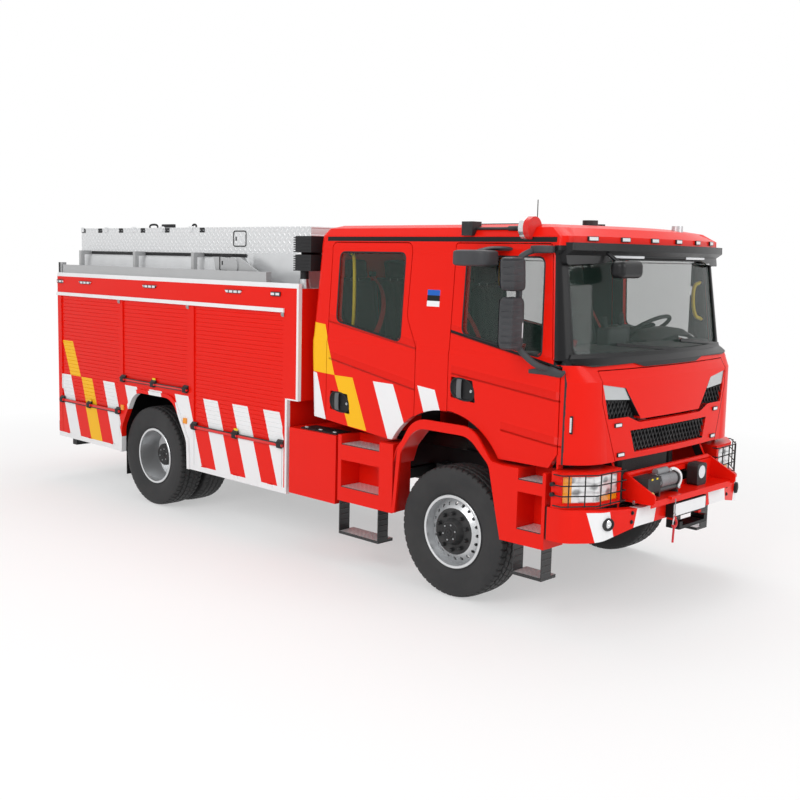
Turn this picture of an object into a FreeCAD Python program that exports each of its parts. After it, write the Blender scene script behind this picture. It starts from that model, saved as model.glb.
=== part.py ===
import FreeCAD, Part
import math
import os

# Crew-cab fire engine. Lengths are in millimetres. While a piece is drawn, x is measured forward
# from the front axle, y to the left from the centre plane and z up from the ground; saving a
# piece shifts it so that the origin lies on the ground under the middle of the whole vehicle.

V = FreeCAD.Vector
ACROSS = V(0, 1, 0)
CENTRE = V(0, 0, 0)

# Driving dimensions
wheelbase = 4250
front_reach = 1470
rear_reach = 6270
half_width = 1270
overrun = 400
fit_gap = 0.4
door_gap = 7

parts = {}


def place_xz(y):
    return lambda a, b: V(a, y, b)


def place_xy(z):
    return lambda a, b: V(a, b, z)


def place_yz(x):
    return lambda a, b: V(x, a, b)


def rounded_wire(points, place):
    """A closed outline. A point is (a, b) or (a, b, radius), and a radius rounds that corner."""
    count = len(points)
    runs = []
    for index, point in enumerate(points):
        here = V(point[0], point[1], 0)
        if len(point) < 3 or point[2] == 0:
            runs.append((here, None, here))
            continue
        before = V(points[index - 1][0], points[index - 1][1], 0)
        after = V(points[(index + 1) % count][0], points[(index + 1) % count][1], 0)
        towards_before = (before - here).normalize()
        towards_after = (after - here).normalize()
        half = towards_before.getAngle(towards_after) / 2
        reach = point[2] / math.tan(half)
        bisector = (towards_before + towards_after).normalize()
        middle = here + bisector * (point[2] / math.sin(half) - point[2])
        runs.append((here + towards_before * reach, middle, here + towards_after * reach))
    edges = []
    for index, (start, middle, end) in enumerate(runs):
        if middle is not None:
            spots = [place(spot.x, spot.y) for spot in (start, middle, end)]
            edges.append(Part.Arc(*spots).toShape())
        following = runs[(index + 1) % count][0]
        if (following - end).Length > fit_gap / 10:
            edges.append(Part.LineSegment(place(end.x, end.y), place(following.x, following.y)).toShape())
    return Part.Wire(edges)


def spread(shares, low_a, high_a, low_b, high_b):
    """Points given as shares of a rectangle. A third share is a corner's radius, of the rectangle's height."""
    return [(low_a + (high_a - low_a) * share[0], low_b + (high_b - low_b) * share[1])
            + tuple(radius * abs(high_b - low_b) for radius in share[2:]) for share in shares]


def side_plate(points, inner, outer, shrink=0):
    """An outline in x and z, swept across from y = inner to y = outer."""
    face = Part.Face(rounded_wire(points, place_xz(inner)))
    if shrink:
        face = face.makeOffset2D(-shrink)
    return face.extrude(V(0, outer - inner, 0))


def level_plate(points, bottom, top):
    return Part.Face(rounded_wire(points, place_xy(bottom))).extrude(V(0, 0, top - bottom))


def cross_plate(points, back, front):
    """An outline in y and z, swept forward from x = back to x = front."""
    return Part.Face(rounded_wire(points, place_yz(back))).extrude(V(front - back, 0, 0))


def block(back, front, right, left, bottom, top):
    low = V(min(back, front), min(right, left), min(bottom, top))
    return Part.makeBox(abs(front - back), abs(left - right), abs(top - bottom), low)


def rod(start, end, radius):
    return Part.makeCylinder(radius, (end - start).Length, start, end - start)


def tube(start, end, outer, inner):
    return rod(start, end, outer).cut(rod(start, end, inner))


def turned(profile, x, z, y=0):
    """A profile of (y, radius) points, turned about the line across the vehicle at x and z."""
    wire = rounded_wire(profile, lambda a, b: V(x, y + a, z + b))
    return Part.Face(wire).revolve(V(x, 0, z), ACROSS, 360)


def mirrored(shape):
    return shape.mirror(CENTRE, ACROSS)


def both(shape):
    return [shape, mirrored(shape)]


def fused(shapes):
    whole = shapes[0]
    if len(shapes) > 1:
        whole = whole.multiFuse(shapes[1:])
    return whole.removeSplitter()


def solids(*shapes):
    found = []
    for shape in shapes:
        found += shape.Solids if isinstance(shape, Part.Shape) else solids(*shape)
    return found


def keep(name, *shapes):
    parts[name] = Part.makeCompound(solids(*shapes))


# Wheels. The tyre is 315/80 R 22.5 on a steel disc wheel, twin at the back.
tyre_radius = 538
tyre_width = 300
tread_width = 262
rim_seat_radius = 286
rim_width = 230
rim_flange_radius = 299
rim_flange_width = 12
rim_wall = 9
tyre_face_y = 1245
twin_spacing = 345
front_wheel_y = tyre_face_y - tyre_width / 2
rear_outer_y = front_wheel_y
rear_inner_y = rear_outer_y - twin_spacing
rear_axle_x = -wheelbase


def tyre(x, y):
    bead = rim_width / 2
    wide = tyre_width / 2
    widest_radius_share = 0.78
    shoulder_round = 34
    flank_round = 95
    return turned([
        (-bead, rim_seat_radius), (bead, rim_seat_radius),
        (bead, rim_flange_radius), (wide, tyre_radius * widest_radius_share, flank_round),
        (tread_width / 2, tyre_radius, shoulder_round), (-tread_width / 2, tyre_radius, shoulder_round),
        (-wide, tyre_radius * widest_radius_share, flank_round), (-bead, rim_flange_radius),
    ], x, tyre_radius, y)


def rim_barrel(x, y):
    bead = rim_width / 2
    flange = bead + rim_flange_width
    bore = rim_seat_radius - rim_wall
    return turned([
        (-flange, bore), (flange, bore), (flange, rim_flange_radius), (bead, rim_flange_radius),
        (bead, rim_seat_radius), (-bead, rim_seat_radius), (-bead, rim_flange_radius), (-flange, rim_flange_radius),
    ], x, tyre_radius, y)


hub_radius = 118
disc_wall = 12
front_disc_root = 30
front_disc_face = 96
hub_face_radius = 172
front_hub_end = 1252
hand_hole_count = 20
hand_hole_radius = 14
hand_hole_circle = 228


def disc_holes(x, back, front):
    holes = []
    for index in range(hand_hole_count):
        angle = 2 * math.pi * index / hand_hole_count
        spot = V(x + hand_hole_circle * math.cos(angle), back, tyre_radius + hand_hole_circle * math.sin(angle))
        holes.append(rod(spot, spot + V(0, front - back, 0), hand_hole_radius))
    return holes


def front_rim():
    bore = rim_seat_radius - rim_wall
    disc = turned([
        (front_disc_root, bore), (front_disc_root + disc_wall, bore),
        (front_disc_face + disc_wall, hub_face_radius + disc_wall), (front_disc_face + disc_wall, 0),
        (front_disc_face, 0), (front_disc_face, hub_face_radius),
    ], 0, tyre_radius, front_wheel_y)
    disc = disc.cut(Part.makeCompound(disc_holes(0, front_wheel_y, tyre_face_y)))
    hub = turned([
        (front_wheel_y + front_disc_face, 0), (front_wheel_y + front_disc_face, hub_radius),
        (front_hub_end, hub_radius * 0.72, 12), (front_hub_end, 0)], 0, tyre_radius)
    return fused([rim_barrel(0, front_wheel_y), disc, hub])


rear_disc_y = (rear_outer_y + rear_inner_y) / 2
rear_disc_root = 45
rear_hub_end = 1105
rear_hub_start = 700


def rear_rims():
    bore = rim_seat_radius - rim_wall
    outer_disc = turned([
        (rear_disc_y + rear_disc_root, bore), (rear_disc_y + rear_disc_root + disc_wall, bore),
        (rear_disc_y + disc_wall, hub_face_radius), (rear_disc_y + disc_wall, 0), (rear_disc_y, 0),
        (rear_disc_y, hub_face_radius + disc_wall),
    ], rear_axle_x, tyre_radius)
    inner_disc = turned([
        (rear_disc_y - rear_disc_root, bore), (rear_disc_y - rear_disc_root - disc_wall, bore),
        (rear_disc_y - disc_wall, hub_face_radius), (rear_disc_y - disc_wall, 0), (rear_disc_y, 0),
        (rear_disc_y, hub_face_radius + disc_wall),
    ], rear_axle_x, tyre_radius)
    hub = turned([
        (rear_hub_start, 0), (rear_hub_start, hub_radius), (rear_hub_end, hub_radius, 16), (rear_hub_end, 0),
    ], rear_axle_x, tyre_radius)
    return fused([rim_barrel(rear_axle_x, rear_outer_y), rim_barrel(rear_axle_x, rear_inner_y),
                  outer_disc, inner_disc, hub])


def wheels():
    front_tyre = tyre(0, front_wheel_y)
    rear_tyres = [tyre(rear_axle_x, rear_outer_y), tyre(rear_axle_x, rear_inner_y)]
    sides = {"left": lambda shape: shape, "right": mirrored}
    for side, turn in sides.items():
        keep("front_tyre_" + side, turn(front_tyre))
        keep("front_rim_" + side, turn(front_rim()))
        keep("rear_tyres_" + side, [turn(shape) for shape in rear_tyres])
        keep("rear_rims_" + side, turn(rear_rims()))


# Steering knuckles and the track rod between them
kingpin_y = 870
kingpin_boss_radius = 52
kingpin_boss_height = 150
kingpin_lug_height = 42
knuckle_play = 0.5
knuckle_plate_in = 66
knuckle_plate_out = 96
knuckle_half_length = 98
spindle_radius = 62
drum_end_y = front_wheel_y + 60
drum_radius = 212
arm_length = 215
arm_width = 58
arm_thickness = 34
track_rod_radius = 24
track_rod_end_radius = 30


def knuckle(side):
    boss_top = tyre_radius + kingpin_boss_height / 2 + knuckle_play
    boss_bottom = tyre_radius - kingpin_boss_height / 2 - knuckle_play
    lug_top = boss_top + kingpin_lug_height
    lug_bottom = boss_bottom - kingpin_lug_height
    plate = block(-knuckle_half_length, knuckle_half_length, kingpin_y + knuckle_plate_in,
                  kingpin_y + knuckle_plate_out, lug_bottom, lug_top)
    pieces = [plate]
    for low, high in ((boss_top, lug_top), (lug_bottom, boss_bottom)):
        pieces.append(rod(V(0, kingpin_y, low), V(0, kingpin_y, high), kingpin_boss_radius))
        pieces.append(block(-kingpin_boss_radius, kingpin_boss_radius, kingpin_y,
                            kingpin_y + knuckle_plate_out, low, high))
    backing = rod(V(0, kingpin_y + knuckle_plate_out, tyre_radius), V(0, drum_end_y, tyre_radius), drum_radius)
    spindle = rod(V(0, drum_end_y, tyre_radius), V(0, front_wheel_y + front_disc_face - fit_gap, tyre_radius),
                  spindle_radius)
    arm = block(-arm_length, 0, kingpin_y - arm_width / 2, kingpin_y + arm_width / 2,
                lug_bottom, lug_bottom + arm_thickness)
    arm_eye = rod(V(-arm_length, kingpin_y, lug_bottom), V(-arm_length, kingpin_y, lug_bottom + arm_thickness),
                  arm_width / 2)
    whole = fused(pieces + [backing, spindle, arm, arm_eye])
    return whole if side == "left" else mirrored(whole)


def track_rod():
    lug_bottom = tyre_radius - kingpin_boss_height / 2 - knuckle_play - kingpin_lug_height
    height = lug_bottom - fit_gap - track_rod_end_radius
    shaft = rod(V(-arm_length, -kingpin_y, height), V(-arm_length, kingpin_y, height), track_rod_radius)
    ends = [rod(V(-arm_length, y, height - track_rod_end_radius), V(-arm_length, y, height + track_rod_end_radius),
                track_rod_end_radius) for y in (-kingpin_y, kingpin_y)]
    return fused([shaft] + ends)


def steering():
    for side in ("left", "right"):
        keep("knuckle_" + side, knuckle(side))
    keep("track_rod", track_rod())


# Chassis frame, axles, springs and drive line
rail_outer_y = 385
rail_flange = 82
rail_height = 270
rail_wall = 9
rail_top = 1030
rail_front = 1232
rail_rear = -6165
cross_member_xs = (1000, -1560, -2300, -3500, -5000, -6100)
cross_member_length = 90
cross_member_height = 190
engine_front = 640
engine_rear = -640
engine_half_width = 280
engine_bottom = 745
engine_top = 1400
gearbox_rear = -1450
gearbox_half_width = 230
gearbox_bottom = 640
gearbox_top = 1010


outrigger_height = 90
outrigger_length = 70
cab_rest_length = 46
cab_rest_half_width = 520
tilt_x = 1150
tilt_z = 850
tilt_pin_radius = 20
tilt_shaft_radius = 34
tilt_arm_inner_y = 662
tilt_arm_wall = 28
tilt_arm_half = 32


def outriggers():
    """Cross brackets from the rails to the lockers, steps and wings, and the beam the cab rests on."""
    bottom = rail_top - rail_height
    pieces = []
    for x in ((locker_rear + locker_front) / 2, (step_box_rear + step_box_front) / 2):
        inner = locker_inner_y if x < locker_front else half_width - step_depth
        pieces += both(block(x - outrigger_length / 2, x + outrigger_length / 2, rail_outer_y - rail_wall,
                             inner - fit_gap, bottom, bottom + outrigger_height))
    pieces += both(block(front_step_front - outrigger_length, front_step_front, rail_outer_y - rail_wall,
                         half_width - step_depth - fit_gap, bottom, bottom + outrigger_height))
    pieces += both(block(rail_front, bumper_knee_x - bumper_wall - fit_gap, rail_outer_y - rail_flange, rail_outer_y,
                         bottom, bumper_top))
    rest_front = cab_rear_x + cab_length * cab_section_shares[0][2] + cab_rest_length
    pieces.append(block(rest_front - cab_rest_length, rest_front, -cab_rest_half_width, cab_rest_half_width,
                        rail_top - rail_wall, sill_rear_z - fit_gap))
    shaft_end = tilt_arm_inner_y - fit_gap
    pieces.append(rod(V(tilt_x, -shaft_end, tilt_z), V(tilt_x, shaft_end, tilt_z), tilt_shaft_radius))
    pin_end = tilt_arm_inner_y + tilt_arm_wall
    pieces.append(rod(V(tilt_x, -pin_end, tilt_z), V(tilt_x, pin_end, tilt_z), tilt_pin_radius))
    return pieces


def chassis_frame():
    inner_y = rail_outer_y - rail_flange
    channel = [(inner_y, rail_top), (rail_outer_y, rail_top), (rail_outer_y, rail_top - rail_height),
               (inner_y, rail_top - rail_height), (inner_y, rail_top - rail_height + rail_wall),
               (rail_outer_y - rail_wall, rail_top - rail_height + rail_wall),
               (rail_outer_y - rail_wall, rail_top - rail_wall), (inner_y, rail_top - rail_wall)]
    rail = cross_plate(channel, rail_rear, rail_front)
    members = []
    middle = rail_top - rail_height / 2
    for x in cross_member_xs:
        members.append(block(x - cross_member_length / 2, x + cross_member_length / 2,
                             -(rail_outer_y - rail_wall), rail_outer_y - rail_wall,
                             middle - cross_member_height / 2, middle + cross_member_height / 2))
    return fused(both(rail) + members + outriggers())


def engine():
    motor = block(engine_rear, engine_front, -engine_half_width, engine_half_width, engine_bottom, engine_top)
    gearbox = block(gearbox_rear, engine_rear - fit_gap, -gearbox_half_width, gearbox_half_width,
                    gearbox_bottom, gearbox_top)
    return [motor, gearbox]


axle_tube_radius = 74
diff_radius = 190
diff_half_width = 150
diff_offset = 60
front_axle_end_y = 806
rear_axle_end_y = 560
spring_y = 430
spring_width = 90
spring_leaf = 16
spring_leaves = 3
spring_half_length = 760
spring_camber = 110
spring_seat = 96
spring_eye_radius = 34


def drive_axle(x, end_y):
    beam = rod(V(x, -end_y, tyre_radius), V(x, end_y, tyre_radius), axle_tube_radius)
    bowl = turned([(diff_offset - diff_half_width, 0), (diff_offset - diff_half_width, diff_radius * 0.55, 30),
                   (diff_offset - diff_half_width * 0.5, diff_radius, 40),
                   (diff_offset + diff_half_width * 0.5, diff_radius, 40),
                   (diff_offset + diff_half_width, diff_radius * 0.55, 30), (diff_offset + diff_half_width, 0)],
                  x, tyre_radius)
    return fused([beam, bowl])


def front_axle():
    boss_bottom = tyre_radius - kingpin_boss_height / 2
    bosses = []
    for y in (-kingpin_y, kingpin_y):
        bosses.append(rod(V(0, y, boss_bottom), V(0, y, boss_bottom + kingpin_boss_height), kingpin_boss_radius))
    ends = [rod(V(0, side * front_axle_end_y, tyre_radius), V(0, side * kingpin_y, tyre_radius), kingpin_boss_radius)
            for side in (-1, 1)]
    return fused([drive_axle(0, front_axle_end_y)] + bosses + ends)


def rear_axle():
    return drive_axle(rear_axle_x, rear_hub_start - fit_gap)


def leaf_spring(x):
    seat = tyre_radius + axle_tube_radius
    thickness = spring_leaf * spring_leaves
    low = seat + fit_gap
    ends = low + spring_camber
    leaf = Part.Wire([
        Part.Arc(V(x - spring_half_length, spring_y, ends), V(x, spring_y, low),
                 V(x + spring_half_length, spring_y, ends)).toShape(),
        Part.LineSegment(V(x + spring_half_length, spring_y, ends),
                         V(x + spring_half_length, spring_y, ends + spring_leaf)).toShape(),
        Part.Arc(V(x + spring_half_length, spring_y, ends + spring_leaf), V(x, spring_y, low + thickness),
                 V(x - spring_half_length, spring_y, ends + spring_leaf)).toShape(),
        Part.LineSegment(V(x - spring_half_length, spring_y, ends + spring_leaf),
                         V(x - spring_half_length, spring_y, ends)).toShape()])
    pack = Part.Face(leaf).extrude(V(0, spring_width, 0))
    pieces = [pack]
    for end in (-1, 1):
        eye_x = x + end * spring_half_length
        pieces.append(rod(V(eye_x, spring_y, ends + spring_leaf / 2),
                          V(eye_x, spring_y + spring_width, ends + spring_leaf / 2), spring_eye_radius))
        pieces.append(block(eye_x - spring_eye_radius, eye_x + spring_eye_radius, rail_outer_y + fit_gap,
                            spring_y + spring_width, ends + spring_leaf / 2, rail_top - rail_height / 2))
    return fused(pieces)


shaft_radius = 48


def drive_line():
    springs = [leaf_spring(0), leaf_spring(rear_axle_x)]
    lower = gearbox_bottom + shaft_radius * 2
    rear_shaft = rod(V(gearbox_rear + shaft_radius, 0, lower), V(rear_axle_x + diff_radius - shaft_radius, diff_offset,
                                                                 tyre_radius), shaft_radius)
    rear_shaft = rear_shaft.cut(engine()[1]).cut(rear_axle())
    return springs, [mirrored(spring) for spring in springs], rear_shaft


def chassis():
    keep("chassis_frame", chassis_frame())
    keep("engine_block", engine())
    keep("axles", front_axle(), rear_axle())
    keep("springs_and_shaft", drive_line())


# Front bumper, lamps, winch and its frame
bumper_top = 925
bumper_bottom = 676
bumper_face_x = 1375
bumper_side_x = 940
bumper_flat_end_x = 1105
bumper_corner_x = 1290
bumper_corner_y = 1040
bumper_knee_x = 1352
bumper_knee_y = 690
bumper_wall = 70
bumper_corner_round = 130
bumper_knee_round = 400
bumper_centre_bottom = 758
bumper_centre_top = 892
bumper_cheek_y = 1110
fog_x = 1290
fog_y = 995
fog_z = 812
fog_radius = 48
housing_top = 1196
housing_side_x = 975
housing_outer_y = 1262
housing_inner_y = 742
housing_nose_x = 1236
housing_floor = bumper_top + fit_gap
lens_inset = 9
lens_margin = 38
lens_outer_x = 1062
lens_bottom = 968
lens_top = 1162
lens_depth = 70
plate_x = 1412
plate_half_width = 262
plate_bottom = 766
plate_top = 879
low_step_left_y = 442
low_step_back_x = 1215
low_step_front_x = 1335
low_step_z = 640
low_step_wall = 26
low_step_leg = 46


def bumper_plan(inset):
    outer = half_width - inset
    corner = (bumper_corner_x - inset, bumper_corner_y - inset / 2, bumper_corner_round)
    knee = (bumper_knee_x - inset, bumper_knee_y, bumper_knee_round)
    right = [(bumper_side_x, outer), (bumper_flat_end_x - inset / 2, outer, bumper_corner_round), corner, knee]
    return right + [(point[0], -point[1]) + point[2:] for point in reversed(right)]


def bumper_front():
    """The bumper seen from ahead: deep at the corners and shallow across the middle."""
    right = [(half_width + overrun, bumper_bottom), (half_width + overrun, bumper_top),
             (bumper_cheek_y, bumper_top), (winch_gusset_y, bumper_centre_top)]
    low = [(bumper_knee_y, bumper_centre_bottom, bumper_knee_round), (bumper_cheek_y, bumper_bottom, bumper_knee_round)]
    left = [(-point[0], point[1]) + point[2:] for point in reversed(right)]
    return right + left + [(-point[0], point[1]) + point[2:] for point in reversed(low)] + low


def front_bumper():
    outer = level_plate(bumper_plan(0), bumper_bottom, bumper_top)
    inner = level_plate(bumper_plan(bumper_wall), bumper_bottom - overrun, bumper_top + overrun)
    shell = outer.cut(inner).common(cross_plate(bumper_front(), bumper_side_x - overrun, bumper_face_x + overrun))
    sockets = [rod(V(fog_x - bumper_wall / 2, side * fog_y, fog_z), V(bumper_face_x, side * fog_y, fog_z), fog_radius)
               for side in (-1, 1)]
    shell = shell.cut(Part.makeCompound(sockets))
    holder = block(bumper_knee_x + fit_gap, plate_x, -plate_half_width, plate_half_width, plate_bottom, plate_top)
    board = block(low_step_back_x, low_step_front_x, 0, low_step_left_y, low_step_z - low_step_wall, low_step_z)
    legs = [block(low_step_back_x, low_step_front_x, y, y + low_step_leg, low_step_z - low_step_wall,
                  bumper_centre_bottom + low_step_leg) for y in (0, low_step_left_y - low_step_leg)]
    step = fused([board] + legs).cut(outer.cut(inner))
    return shell, holder, step


def housing_plan(inset):
    return [(housing_side_x + inset, housing_outer_y - inset), (lens_outer_x - inset, housing_outer_y - inset, lens_margin),
            (bumper_corner_x - lens_depth - inset, bumper_corner_y - inset, bumper_corner_round),
            (housing_nose_x - inset, housing_inner_y + inset), (housing_side_x + inset, housing_inner_y + inset)]


def lamp_housing():
    return level_plate(housing_plan(0), housing_floor, housing_top)


def lens_space(clear):
    behind = level_plate(housing_plan(lens_depth), lens_bottom - clear, lens_top + clear)
    front = level_plate(housing_plan(-overrun / 4), lens_bottom - clear, lens_top + clear)
    window = block(lens_outer_x - clear, bumper_face_x, housing_inner_y + lens_margin - clear, housing_outer_y + overrun,
                   lens_bottom - clear, lens_top + clear)
    return front.cut(behind).common(window)


def headlamps():
    return lamp_housing().common(lens_space(0)).common(level_plate(housing_plan(lens_inset), housing_floor, housing_top))


guard_stand = 26
guard_rod_radius = 5
guard_rows = 4
guard_columns = 5
guard_bottom = 950
guard_top = 1180
guard_lug_radius = 16


def guard_path():
    """Where the guard's rods run in plan: round the housing, a little away from it."""
    corners = [point[:2] for point in housing_plan(-guard_stand)[1:4]]
    return [(lens_outer_x - 2 * guard_stand, corners[0][1])] + corners + [(housing_nose_x - guard_stand, corners[-1][1])]


def guard_spots():
    """Where the guard's uprights stand along its path."""
    path = guard_path()
    lengths = [math.hypot(b[0] - a[0], b[1] - a[1]) for a, b in zip(path, path[1:])]
    spots = []
    for column in range(guard_columns):
        left = sum(lengths) * (column + 1) / (guard_columns + 1)
        for (a, b), length in zip(zip(path, path[1:]), lengths):
            if left <= length:
                ahead = (2 * guard_rod_radius + fit_gap / 2) / length
                spots.append((a[0] + (b[0] - a[0]) * left / length - (a[1] - b[1]) * -ahead,
                              a[1] + (b[1] - a[1]) * left / length - (b[0] - a[0]) * -ahead))
                break
            left -= length
    return spots


def lamp_guard():
    """A wire guard: bent rods along the lens, with uprights welded on their outer side."""
    path = guard_path()
    pieces = []
    pitch = (guard_top - guard_bottom) / (guard_rows - 1)
    for row in range(guard_rows):
        z = guard_bottom + row * pitch
        line = Part.makePolygon([V(x, y, z) for x, y in path])
        section = Part.Wire(Part.makeCircle(guard_rod_radius, V(path[0][0], path[0][1], z), line.Edges[0].tangentAt(0)))
        pieces.append(line.makePipeShell([section], True, False, 1))
    low = guard_bottom - guard_rod_radius
    for x, y in guard_spots():
        pieces.append(rod(V(x, y, low), V(x, y, guard_top + guard_rod_radius), guard_rod_radius))
    for row in (1, guard_rows - 2):
        spot = V(path[0][0] - guard_lug_radius - fit_gap, housing_outer_y + fit_gap, guard_bottom + row * pitch)
        pieces.append(rod(spot, spot + V(0, guard_stand, 0), guard_lug_radius))
    return pieces


winch_gusset_y = 626
winch_gusset_wall = 14
gusset_flange = 30
winch_bar_radius = 24
winch_bar_x = 1208
winch_bar_z = 1118
gusset_top = 1150
gusset_back = 1190
gusset_nose_z = 932
gusset_nose_depth = 70
gusset_round = 22
tray_wall = 8
tray_front_x = 1436
tray_z = 948
back_plate_x = 1242
back_plate_top = 1112
back_plate_window_height = 90
winch_drum_radius = 52
winch_drum_half = 145
winch_y = -265
winch_box_length = 185
winch_box_depth = 128
winch_box_height = 112
winch_x = 1318
winch_z = 1056
winch_foot_wall = 16
motor_radius = 40
motor_drop = 62
fairlead_y = -310
fairlead_half = 78
fairlead_depth = 66
fairlead_wall = 22


def winch_frame():
    gusset = side_plate([(gusset_back, gusset_top, gusset_round), (gusset_back, bumper_top + fit_gap),
                         (bumper_face_x + 2 * gusset_round, bumper_top + fit_gap), (front_reach, gusset_nose_z, gusset_round),
                         (front_reach, gusset_nose_z + gusset_nose_depth, gusset_round)],
                        winch_gusset_y, winch_gusset_y + winch_gusset_wall)
    flange = level_plate([(gusset_back, winch_gusset_y), (gusset_back, winch_gusset_y + gusset_flange),
                          (housing_nose_x, winch_gusset_y + gusset_flange),
                          (front_reach - gusset_flange, winch_gusset_y + winch_gusset_wall),
                          (front_reach - gusset_flange, winch_gusset_y)], bumper_top + fit_gap,
                         bumper_top + fit_gap + tray_wall)
    tray = block(rail_front + fit_gap, tray_front_x, -winch_gusset_y, winch_gusset_y, tray_z - tray_wall, tray_z)
    apron = block(tray_front_x - tray_wall, tray_front_x, -winch_gusset_y, winch_gusset_y, bumper_centre_top + tray_wall,
                  tray_z)
    apron = apron.cut(level_plate(bumper_plan(-fit_gap), bumper_bottom, bumper_top))
    back = block(back_plate_x, back_plate_x + tray_wall, -winch_gusset_y, winch_gusset_y, tray_z, back_plate_top)
    middle = (tray_z + back_plate_top) / 2
    for y in (-winch_gusset_y / 2, winch_gusset_y / 2):
        back = back.cut(block(back_plate_x - overrun, back_plate_x + overrun, y - winch_gusset_y / 3,
                              y + winch_gusset_y / 3, middle - back_plate_window_height / 2,
                              middle + back_plate_window_height / 2))
    bar = rod(V(winch_bar_x, -winch_gusset_y, winch_bar_z), V(winch_bar_x, winch_gusset_y, winch_bar_z), winch_bar_radius)
    lead = block(tray_front_x, tray_front_x + fairlead_depth / 2, fairlead_y - fairlead_half, fairlead_y + fairlead_half,
                 tray_z - tray_wall, tray_z - tray_wall + fairlead_wall)
    return fused(both(gusset) + both(flange) + [tray, apron, back, bar, lead])


def winch():
    right = winch_y - winch_drum_half - winch_box_length
    drum = rod(V(winch_x, winch_y - winch_drum_half, winch_z), V(winch_x, winch_y + winch_drum_half, winch_z),
               winch_drum_radius)
    box = block(winch_x - winch_box_depth / 2, winch_x + winch_box_depth / 2, right, winch_y - winch_drum_half,
                winch_z - winch_box_height / 2, winch_z + winch_box_height / 2)
    caps = [rod(V(winch_x, y, winch_z), V(winch_x, y + winch_foot_wall, winch_z), winch_drum_radius + winch_foot_wall)
            for y in (winch_y - winch_drum_half, winch_y + winch_drum_half - winch_foot_wall)]
    motor = rod(V(winch_x + motor_drop / 2, right + motor_radius, winch_z - motor_drop),
                V(winch_x + motor_drop / 2, winch_y + winch_drum_half, winch_z - motor_drop), motor_radius / 2)
    feet = [block(winch_x - winch_drum_radius, winch_x + winch_drum_radius, y, y + winch_foot_wall,
                  tray_z + fit_gap, winch_z) for y in (winch_y - winch_drum_half, winch_y + winch_drum_half - winch_foot_wall)]
    return fused([drum, box, motor] + caps + feet)


def front_end():
    shell, holder, step = front_bumper()
    housing = lamp_housing().cut(lens_space(fit_gap))
    keep("front_bumper", shell, holder, step, both(housing))
    keep("headlamps", both(headlamps()))
    keep("lamp_guards", [both(piece) for piece in lamp_guard()])
    keep("winch_frame", winch_frame())
    keep("winch", winch())


# Front wings, step boxes and lockers along the chassis
wing_top = 1424
wing_wall = 24
wing_inner_y = 1000
wing_leg_wall = 22
step_box_rear = -1300
step_box_front = -630
step_top = 1170
locker_rear = -1958
locker_front = -1330
locker_bottom = 534
locker_top = 1150
locker_inner_y = 640
front_step_rear = 648
front_step_front = 930
tread_wall = 26
upper_tread_z = 1085
lower_tread_z = 705
step_depth = 250
hang_tread_z = 335
hang_plate_wall = 10
hang_plate_width = 128
hang_inset = 6


def wing_edge():
    return [(-632, 590), (-585, 1130, 120), (-410, wing_top, 240), (215, wing_top, 240), (411, 1185, 60),
            (560, 1168), (560, 590)]


def wheel_opening():
    return [(-601, 580), (-545, 1120, 140), (-390, 1345, 220), (180, 1345, 220), (390, 1150, 120), (470, 800),
            (524, 580)]


def wing_liner(inset):
    return [(-650 + inset, 1000 - inset), (-600 + inset, 1150 - inset, 80), (-420 + inset, 1360 - inset, 180),
            (200 - inset, 1360 - inset, 180), (420 - inset, 1172 - inset, 60), (656 - inset, 1172 - inset),
            (656 - inset, 1000 - inset)]


wing_seam_xs = (-627, -410, 215, 411, 552)


def wing_panels(wing):
    """A wing parted into its crown, its legs and the boxes at their ends, each with its liner behind it."""
    skin = half_width - wing_leg_wall
    wide = half_width + overrun
    boxes = [block(locker_rear, wing_seam_xs[0], 0, wide, 0, cab_top), block(wing_seam_xs[-1], front_reach, 0, wide, 0, cab_top)]
    for rear, front in zip(wing_seam_xs, wing_seam_xs[1:]):
        boxes += [block(rear, front, 0, skin, 0, cab_top), block(rear, front, skin, wide, 0, cab_top)]
    return [wing.common(box) for box in boxes]


def front_wing():
    ring = side_plate(wing_edge(), half_width - wing_leg_wall, half_width)
    ring = ring.cut(side_plate(wheel_opening(), half_width - overrun, half_width + overrun))
    liner = side_plate(wing_liner(0), wing_inner_y, half_width - wing_leg_wall / 2)
    liner = liner.cut(side_plate(wing_liner(8), wing_inner_y - overrun, half_width + overrun))
    return fused([ring, liner, step_box(), front_step_box()])


def step_box():
    inner = half_width - step_depth
    shell = level_plate([(step_box_rear, inner), (step_box_rear, half_width), (step_box_front, half_width),
                         (step_box_front - 25, inner)], 580, step_top)
    wells = block(step_box_rear + 42, step_box_front - 160, half_width - step_depth + 20, half_width + overrun,
                  lower_tread_z, 950)
    top_well = block(step_box_rear + 42, step_box_front - 160, half_width - step_depth + 20, half_width + overrun,
                     upper_tread_z, step_top + overrun)
    return shell.cut(wells).cut(top_well)


def side_locker():
    return block(locker_rear, locker_front, locker_inner_y, half_width, locker_bottom, locker_top)


def front_step_box():
    inner = half_width - step_depth
    shell = level_plate([(front_step_rear, inner), (front_step_rear - 85, half_width - wing_leg_wall),
                         (front_step_rear - 95, half_width), (front_step_front, half_width),
                         (front_step_front, inner)], 590, step_top)
    well_wall_share = 0.1
    margin = (front_step_front - front_step_rear) * well_wall_share
    for bottom, top in ((lower_tread_z, upper_tread_z - 90), (upper_tread_z, step_top + overrun)):
        shell = shell.cut(block(front_step_rear + margin, front_step_front - margin,
                                half_width - step_depth + margin, half_width + overrun, bottom, top))
    return shell


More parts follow.
